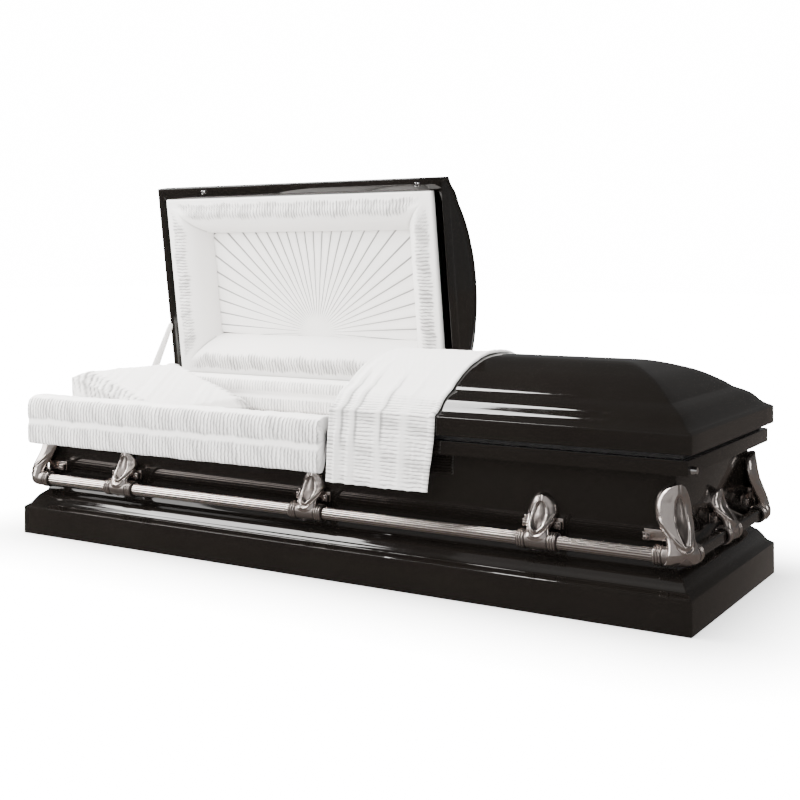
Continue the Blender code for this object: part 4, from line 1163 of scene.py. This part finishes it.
class CASKET_OT_pillow(bpy.types.Operator):
    """Model the pillow, filled by a cloth simulation"""

    bl_idname = "casket.pillow"
    bl_label = "Pillow"

    def execute(self, context):
        low, high = (Vector(corner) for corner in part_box("pillow"))
        tall = high.z - low.z
        bm = started("create_cube", size=1.0)
        bmesh.ops.subdivide_edges(bm, edges=bm.edges[:], cuts=11, use_grid_fill=True)
        for vert in bm.verts:
            x, y, z = vert.co
            pinch = 1 - 0.05 * (1 - abs(2 * x) ** 2) * abs(2 * y) ** 3
            thick = 0.16 + 0.84 * (0.5 - x) ** 0.8
            top = low.z + 0.006 + (tall - 0.018) * thick
            base = low.z + 0.004
            level = (z + 0.5) * (1 - 0.10 * abs(2 * y) ** 6)
            vert.co = (low.x + 0.002 + (high.x - low.x - 0.014) * (x + 0.5),
                       y * (high.y - low.y - 0.006) * pinch, base + (top - base) * level)
        item = placed("pillow_case", mesh_from(bm, "pillow_case"))
        remesh = item.modifiers.new("remesh", "REMESH")
        remesh.mode = "VOXEL"
        remesh.voxel_size = 0.0056
        start = applied(item)
        item.modifiers.clear()
        item.data = start
        self.inflate(item, 0.009)
        case = self.wrinkled(item.data, low, high)
        bpy.data.objects.remove(item, do_unlink=True)
        done = piece("head_pillow", [case], "white_crepe", "casket", "pillow", sharp=0)
        smooth = done.modifiers.new("smooth", "SUBSURF")
        smooth.levels = 1
        smooth.render_levels = 1
        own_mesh(done)
        return {"FINISHED"}

    def inflate(self, item, cap):
        """Swell the case by cloth pressure, and keep each point near where it began."""
        scene = bpy.context.scene
        rest = np.array([v.co for v in item.data.vertices])
        cloth = item.modifiers.new("cloth", "CLOTH")
        cloth.settings.use_pressure = True
        cloth.settings.uniform_pressure_force = 4.0
        cloth.settings.tension_stiffness = 12.0
        cloth.settings.bending_stiffness = 0.4
        cloth.settings.effector_weights.gravity = 0.0
        for number in range(1, 21):
            scene.frame_set(number)
        swollen = applied(item)
        moved_to = np.array([v.co for v in swollen.vertices])
        step = moved_to - rest
        length = np.linalg.norm(step, axis=1)[:, None]
        step *= np.minimum(1.0, cap / np.maximum(length, 1e-9))
        item.modifiers.clear()
        item.data = swollen
        item.data.vertices.foreach_set("co", (rest + step).ravel())
        scene.frame_set(1)

    def wrinkled(self, mesh, low, high):
        """Add the shirred ends and a few soft creases, inside the pillow's space."""
        mesh = mesh.copy()
        co, normal = np.empty((2, len(mesh.vertices) * 3))
        mesh.vertices.foreach_get("co", co)
        mesh.vertices.foreach_get("normal", normal)
        co, normal = co.reshape(-1, 3), normal.reshape(-1, 3)
        x, y, z = co.T
        end = ease(0.155, 0.205, np.abs(y)) * ease(0.262, 0.240, np.abs(y))
        top = ease(0.0, 0.35, normal[:, 2])
        rib = gathers(x + 0.5 * z, 0.4 * np.abs(y), 0.0165, 71)
        crease = 0.0018 * waver(x * 4 + y * 2.2, 5) + 0.0012 * waver(y * 5 - x * 2, 6)
        rise = 0.0044 * (rib - 0.5) * end + crease * top
        co = co + normal * rise[:, None]
        co[:, 0] = np.clip(co[:, 0], low.x - 0.006, high.x)
        co[:, 1] = np.clip(co[:, 1], low.y - 0.006, high.y + 0.006)
        co[:, 2] = np.clip(co[:, 2], low.z, high.z + 0.008)
        mesh.vertices.foreach_set("co", co.ravel())
        # Painted shade in the valleys of the shirred ends.
        write_patina_and_shade(mesh, np.clip((1 - rib) * end, 0, 1))
        return mesh


def applied(item):
    """A copy of an object's mesh with its modifiers applied."""
    bpy.context.view_layer.update()
    graph = bpy.context.evaluated_depsgraph_get()
    return bpy.data.meshes.new_from_object(item.evaluated_get(graph))


class CASKET_OT_lid_lining(bpy.types.Operator):
    """Model the padded border and the ray-pleated panel of the head lid"""

    bl_idname = "casket.lid_lining"
    bl_label = "Head lid lining"

    def execute(self, context):
        gap = 0.0005
        low = Vector((-LID_X + HIP_RATIO * LID_LIP + gap, -LID_Y + LID_LIP + gap))
        high = Vector((HEAD_CUT - LID_LIP - gap, LID_Y - LID_LIP - gap))
        middle, half = (low + high) / 2, (high - low) / 2
        line = [(0.0, 0.016), (0.0004, 0.004), (0.003, 0.0000), (0.014, -0.0002), (0.024, -0.0008),
                (0.036, -0.0018), (0.046, -0.0046), (0.057, -0.0058), (0.068, -0.0030),
                (0.077, 0.0020), (0.086, 0.0085), (0.098, 0.0195), (0.110, 0.0365), (0.120, 0.0560),
                (0.127, 0.0740), (0.1305, 0.0880), (0.130, 0.0905), (0.112, 0.0880),
                (0.090, 0.0600), (0.060, 0.0350), (0.030, 0.0240), (0.006, 0.0200), (0.0, 0.016)]
        outline = fair(line, 64)
        long_steps = 420
        stations = ring_stations(3, long_steps, int(long_steps * half.y / half.x))
        pitch = sizes().border_pitch

        def shape(column, row):
            inward, rise = outline[row, 0], outline[row, 1]
            x, y = ring_place(stations, column, half.x - inward, half.y - inward, 0.003)
            x, y = middle.x + x, middle.y + y
            side_x, side_y, turn = (values[column] for values in stations)
            long_side = np.abs(np.sin(turn)) > 0.7
            along = np.where(long_side, x, y)
            other = np.where(long_side, np.abs(x - middle.x) - (half.x - inward),
                             np.abs(y - middle.y) - (half.y - inward))
            side = 5 * np.sign(side_y) * long_side + 9 * np.sign(side_x) * (~long_side)
            front = rise < 0.012 + 0.4 * inward
            reach = 0.006 * waver(along * 6 + side, 83)
            puff = ease(0.014, 0.026, inward + reach) * ease(0.086, 0.064, inward + reach) * front
            calm = ease(0.0, -0.05, other)
            rib = gathers(along + side * 0.37, inward, pitch, 81)
            mitre = 0.0030 * hump(0.0, 0.006, other) * ease(0.02, 0.09, inward) * front
            swell = 0.0011 * waver(along * 2 + side, 85) * puff
            lift = 0.0042 * (rib - 0.5) * puff * calm + swell - mitre
            z = LID_BOTTOM + rise - lift
            # Painted shade between the gathers of the puff and along the sunk mitre lines.
            painted_shade = np.clip((1 - rib) * puff * calm + mitre * 160, 0, 1)
            return x, y, z, painted_shade

        mesh = moved(sheet_mesh("border", len(stations[0]) - 1, len(outline) - 1, shape), SWING)
        item = piece("lid_cloth_border", [mesh], "white_crepe", "head_lid", "lid_lining_border",
                     sharp=0, turn_out=True)
        self.panel(middle, half - Vector((0.129, 0.129)))
        return {"FINISHED"}

    def panel(self, middle, half):
        """Knife pleats that fan out from a point near the panel's lower edge."""
        centre = Vector((-0.487, 0.166))
        steps = (0.0, 0.30, 0.60, 0.84, 0.93, 0.97)
        count = sizes().pleats * 2
        phase = np.array([step for _ in range(count) for step in steps] + [0.0])
        turns = np.array([(k + step) * 2 * pi / count for k in range(count) for step in steps]
                         + [2 * pi]) + pi / count
        radii = np.concatenate((np.linspace(0, 0.1, 12), np.linspace(0.1, 1.0, 30)[1:]))
        recess = LID_BOTTOM + 0.0885

        def shape(column, row):
            dx, dy = np.cos(turns[column]), np.sin(turns[column])
            reach_x = np.where(dx > 0, middle.x + half.x - centre.x, centre.x - middle.x + half.x)
            reach_y = np.where(dy > 0, middle.y + half.y - centre.y, centre.y - middle.y + half.y)
            far = np.minimum(reach_x / np.maximum(np.abs(dx), 1e-6),
                             reach_y / np.maximum(np.abs(dy), 1e-6))
            distance = far * radii[row]
            grown = ease(0.02, 0.10, distance) * ease(0.03, 0.09, far)
            step = phase[column]
            fold = np.where(step <= 0.84, step / 0.84, (1 - step) / 0.16)
            lift = 0.0034 * fold * grown * (0.6 + 0.4 * ease(0.1, 0.4, distance))
            sag = 0.004 * ease(0.0, 0.10, distance) * 0.5
            x = centre.x + dx * distance
            y = centre.y + dy * distance
            z = recess - lift - sag
            z = z + 0.0008 * waver(distance * 9 + 3 * dy, 91) * ease(0.0, 0.08, distance)
            # Painted shade on the steep underside of each pleat.
            painted_shade = np.where(step > 0.84, 1.0, 0.0) * grown
            return x, y, z, painted_shade

        mesh = moved(sheet_mesh("panel", len(turns) - 1, len(radii) - 1, shape), SWING)
        item = piece("lid_pleated_panel", [mesh], "smooth_crepe", "head_lid", "lid_lining_panel",
                     sharp=50)
        wall(item, 0.0015, even_offset=False)


class CASKET_OT_throw(bpy.types.Operator):
    """Model the throw that lies over the foot lid and hangs down its front"""

    bl_idname = "casket.throw"
    bl_label = "Throw"

    def execute(self, context):
        low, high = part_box("throw")
        over = lid_line()[10:]
        front = [(-(LID_Y - inward), LID_BOTTOM + rise) for inward, rise in over]
        back = [(-y, z) for y, z in reversed(front) if -y < high[1] - 0.004][1:]
        hanging = [(-LID_Y - 0.0105, low[2]), (-LID_Y - 0.0085, 0.300), (-LID_Y - 0.0062, 0.345),
                   (-LID_Y - 0.0035, 0.390), (-LID_Y - 0.0012, 0.415), (-LID_Y, 0.435)]
        line = even(np.vstack((hanging, soften(front, 0.003, 2), back)), 330)
        ahead = np.gradient(line, axis=0)
        normal = unit(smoothed(unit(np.column_stack((-ahead[:, 1], ahead[:, 0]))), 8))
        run = run_of(line)
        columns, roll = 120, 0.010
        width = high[0] - low[0]
        pitch = sizes().rib_pitch

        def shape(column, row):
            share = column / columns
            share = share - 0.11 * np.sin(2 * pi * share)
            across = share * width
            s = run[row]
            ribbed = 1 - ease(0.20, 0.30, s + 0.012 * waver(across * 9, 103))
            faint = 1 - ease(0.30, 0.42, s)
            hang = 1 - ease(0.10, 0.165, s)
            rib = gathers(s, across * 0.3, pitch, 101)
            folds = [(place + 0.10 * (s - 0.2) * lean, wide, tall)
                     for place, wide, tall, lean in THROW_FOLDS]
            raised = sum(tall * hump(mid, wide, across) for mid, wide, tall in folds)
            reach = 1 - ease(0.24, 0.52, s)
            smooth = sum(hump(mid + 0.006, 0.011, across) for mid, wide, tall in folds) * reach
            edge = np.minimum(across, width - across)
            right = share > 0.5
            curl = pi * np.clip(1 - edge / roll, 0, 1)
            rolled = np.where(edge < roll, 0.0032 * (1 + np.cos(curl)),
                              0.0064 * ease(0.024, roll, edge))
            hem = np.where(right, rolled, 0.0020 * hump(0.0045, 0.0042, edge))
            hem = hem + 0.0016 * hump(0.004, 0.0035, s)
            across = np.where(right & (edge < roll), width - 0.007 + 0.0032 * np.sin(curl), across)
            crease = sum(hump(mid + 0.013, 0.0045, across) for mid, wide, tall in folds[:3])
            crease = crease * ease(0.08, 0.14, s) * ease(0.40, 0.31, s)
            ribs = 0.0034 * (rib - 0.4) * (0.75 * ribbed + 0.25 * faint)
            lift = 0.0016 + ribs * ease(0, 0.006, edge) * (1 - 0.8 * smooth)
            lift = lift + raised * reach * (0.55 + 0.45 * hang) + hem
            lift = lift + 0.0045 * (0.5 + 0.5 * waver(across * 5.5, 105)) * hang
            lift = lift + 0.0008 * (1 + waver(s * 3 + across * 6, 107)) * (1 - ribbed)
            wander = 0.0022 * waver(s * 2.2, 109) * ease(0.0, 0.1, s) * (2 * share - 1)
            x = low[0] + across + np.where(right, -0.5, 0.5) * np.abs(wander)
            y = line[row, 0] + normal[row, 0] * lift
            z = line[row, 1] + normal[row, 1] * lift
            z = z + 0.0015 * waver(across * 4, 111) * hang * ease(0.05, 0.0, s)
            lean = 0.014 * ease(0.0, 0.15, s) - 0.005 - 0.003 * ease(0.2, 0.5, s)
            x = x + lean * ease(0.6, 1.0, share)
            # Painted shade in the valleys between the ribs, on the flank beside each long fold and
            # in the creases.
            painted_shade = (1 - rib) * ribbed * (1 - 0.85 * smooth) + 0.24 * smooth + 0.40 * crease
            return x, y, z, np.clip(painted_shade, 0, 1)

        mesh = sheet_mesh("throw_cloth", columns, len(line) - 1, shape)
        mesh.flip_normals()
        item = piece("throw_cloth", [mesh], "white_crepe", "foot_lid", "throw", sharp=0)
        wall(item, 0.0014, even_offset=False)
        return {"FINISHED"}


class CASKET_OT_stay(bpy.types.Operator):
    """Model the cloth-covered stay of the head lid"""

    bl_idname = "casket.stay"
    bl_label = "Lid stay"

    def execute(self, context):
        low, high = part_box("lid_stay")
        x = (low[0] + high[0]) / 2
        foot = Vector((x, low[1] + 0.006, low[2] + 0.006))
        head = Vector((x, high[1] - 0.006, high[2] - 0.006))
        run = head - foot
        face = run.normalized().cross(Vector((1.0, 0.0, 0.0))).normalized()
        columns, rows = 48, 120

        def shape(column, row):
            turn = 2 * pi * column / columns
            share = row / rows
            size = np.sqrt(np.clip(1 - (2 * share - 1) ** 24, 0.0, 1.0))
            wide = 0.0190 * (1 - 0.45 * share) * size
            thin = 0.0052 * size
            bulge = 1 + 0.10 * gathers(share * run.length, turn * 0.01, 0.013, 121)
            across = wide * np.cos(turn) * bulge
            out = thin * np.sin(turn) * bulge
            # The fixed value 0.2 makes the whole cover evenly a little darker.
            return (foot.x + out, foot.y + run.y * share + face.y * across,
                    foot.z + run.z * share + face.z * across, 0.2)

        mesh = sheet_mesh("stay_cloth", columns, rows, shape)
        item = piece("lid_stay_cover", [mesh], "white_crepe", None, "lid_stay", sharp=0,
                     turn_out=True)
        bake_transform(item)
        return {"FINISHED"}


class CASKET_OT_stage(bpy.types.Operator):
    """Set up the floor, the studio lights and the camera"""

    bl_idname = "casket.stage"
    bl_label = "Stage"

    def execute(self, context):
        self.floor()
        self.sky()
        for name, spot, aim, size, radiance in (
                ("key", (-3.15, -2.2, 3.0), (-3.15, -2.2, 0.0), (2.7, 1.1), 24.0),
                ("overhead", (-2.1, -0.25, 3.0), (-2.1, -0.25, 0.0), (3.6, 1.5), 26.0),
                ("left", (-3.6, -2.6, 1.7), (0.0, -0.3, 0.3), (1.6, 2.4), 6.5),
                ("front", (0.4, -2.6, 3.2), (0.4, -0.3, 0.3), (3.4, 2.0), 0.5),
                ("right", (4.6, -0.4, 2.2), (0.9, 0.0, 0.3), (0.5, 2.2), 5.0)):
            self.light(name, spot, aim, size, radiance)
        camera = bpy.data.cameras.new("camera")
        camera.lens = 56.55
        camera.sensor_width = 36.0
        camera.shift_y = -0.1717
        holder = placed("camera", camera)
        holder.location = (1.967, -3.089, 0.840)
        holder.rotation_euler = (pi / 2, 0.0, radians(31.265))
        bpy.context.scene.camera = holder
        return {"FINISHED"}

    def light(self, name, spot, aim, size, radiance):
        """An area light of a given brightness, aimed at a point."""
        lamp = bpy.data.lights.new(name, "AREA")
        lamp.shape = "ELLIPSE" if name == "overhead" else "RECTANGLE"
        lamp.size, lamp.size_y = size
        lamp.energy = radiance * pi * size[0] * size[1]
        lamp.color = (1.0, 0.985, 0.965)
        holder = placed(name, lamp)
        holder.location = spot
        holder.rotation_euler = (Vector(aim) - Vector(spot)).to_track_quat("-Z", "Y").to_euler()

    def floor(self):
        """A pale floor that glows white to the camera away from the casket, and shows glossy rays a
        painted dim reflection.
        """
        mesh = mesh_from(started("create_grid", x_segments=1, y_segments=1, size=30.0), "floor")
        g = surface("pale_floor")
        speck = g.noise(30.0, 3.0)
        g.set(Base_Color=g.mix(speck, (0.90, 0.90, 0.90), (0.93, 0.93, 0.925)), Roughness=0.7)
        away = g.vector("MAXIMUM", g.vector("SUBTRACT", g.vector("ABSOLUTE", g.place),
                                            (1.03, 0.31, 0.0)), (0.0, 0.0, 0.0))
        distance = g.node("ShaderNodeVectorMath", {"operation": "LENGTH"}, {0: away})
        clear = g.ranged(Value(g, distance.outputs["Value"]), 0.0, 0.62)
        # The floor glows to camera rays, faintly near the casket and fully 0.62 m away, so it
        # merges with the white surround; the fading glow lays a soft painted shadow round the
        # casket over the real contact shadow.
        g.set(Specular_IOR_Level=0.0, Emission_Strength=14.0)
        g.set(Emission_Color=g.mix(clear, (0.02, 0.02, 0.02), (1.0, 1.0, 1.0)))
        plain = g.node("ShaderNodeBsdfDiffuse", None, {"Color": (0.55, 0.55, 0.55, 1.0)})
        # Painted reflection: glossy rays see the floor as this dim brownish glow, not as its lit
        # surface.
        painted_floor_reflection = g.node("ShaderNodeEmission", None, {"Color": (0.150, 0.132, 0.121, 1.0)})
        seen = g.node("ShaderNodeMixShader", None, {
            0: g.path("Is Camera Ray"), 1: plain.outputs[0], 2: g.shader.outputs[0]})
        blend = g.node("ShaderNodeMixShader", None, {
            0: g.path("Is Glossy Ray"), 1: seen.outputs[0], 2: painted_floor_reflection.outputs[0]})
        g.feed(g.tree.nodes["Material Output"].inputs["Surface"], blend.outputs[0])
        mesh.materials.append(g.owner)
        item = placed("floor", mesh)
        item.location = (0.0, 0.0, -0.0006)

    def sky(self):
        """A white surround, dimmer where only surfaces see it."""
        world = bpy.data.worlds.new("studio")
        bpy.context.scene.world = world
        g = Graph(world, "Background")
        g.set(Color=(1.0, 1.0, 1.0, 1.0))
        split = g.node("ShaderNodeSeparateXYZ", None, {0: g.coordinate("Generated")})
        above = g.ranged(Value(g, split.outputs["Z"]), 0.05, 0.50)
        before = g.ranged(0.0 - Value(g, split.outputs["Y"]), 0.40, 0.85)
        mirrored = 0.14 - 0.08 * above + 0.32 * before
        glossy = g.path("Is Glossy Ray")
        lit = 2.9 + 2.4 * before
        g.set(Strength=g.path("Is Camera Ray") * 13.0 + lit + glossy * (mirrored - lit))


class CASKET_PT_panel(bpy.types.Panel):
    """The casket's tools in the sidebar"""

    bl_idname = "CASKET_PT_panel"
    bl_label = "Casket"
    bl_space_type = "VIEW_3D"
    bl_region_type = "UI"
    bl_category = "Casket"

    def draw(self, context):
        for group in (context.scene.casket_sizes, context.scene.casket_colours):
            for name in group.bl_rna.properties.keys():
                if name not in ("rna_type", "name"):
                    self.layout.prop(group, name)
        for operator in OPERATORS:
            self.layout.operator(operator.bl_idname)


OPERATORS = (CASKET_OT_stage, CASKET_OT_metalwork, CASKET_OT_lids, CASKET_OT_bars,
             CASKET_OT_arms, CASKET_OT_corners, CASKET_OT_rolls, CASKET_OT_lining,
             CASKET_OT_pillow, CASKET_OT_lid_lining, CASKET_OT_throw, CASKET_OT_stay)
CLASSES = (CasketSizes, CasketColours, *OPERATORS, CASKET_PT_panel)


def register():
    """Register the classes and their settings."""
    for item in CLASSES:
        bpy.utils.register_class(item)
    bpy.types.Scene.casket_sizes = bpy.props.PointerProperty(type=CasketSizes)
    bpy.types.Scene.casket_colours = bpy.props.PointerProperty(type=CasketColours)


def unregister():
    """Remove the settings and the classes."""
    del bpy.types.Scene.casket_colours
    del bpy.types.Scene.casket_sizes
    for item in reversed(CLASSES):
        bpy.utils.unregister_class(item)


def plain(box):
    """A box as plain lists of numbers."""
    return [[float(value) for value in corner] for corner in box]


def main():
    """Build every piece in order."""
    register()
    for operator in OPERATORS:
        getattr(bpy.ops.casket, operator.bl_idname.split(".")[1])()


if __name__ == "__main__":
    main()
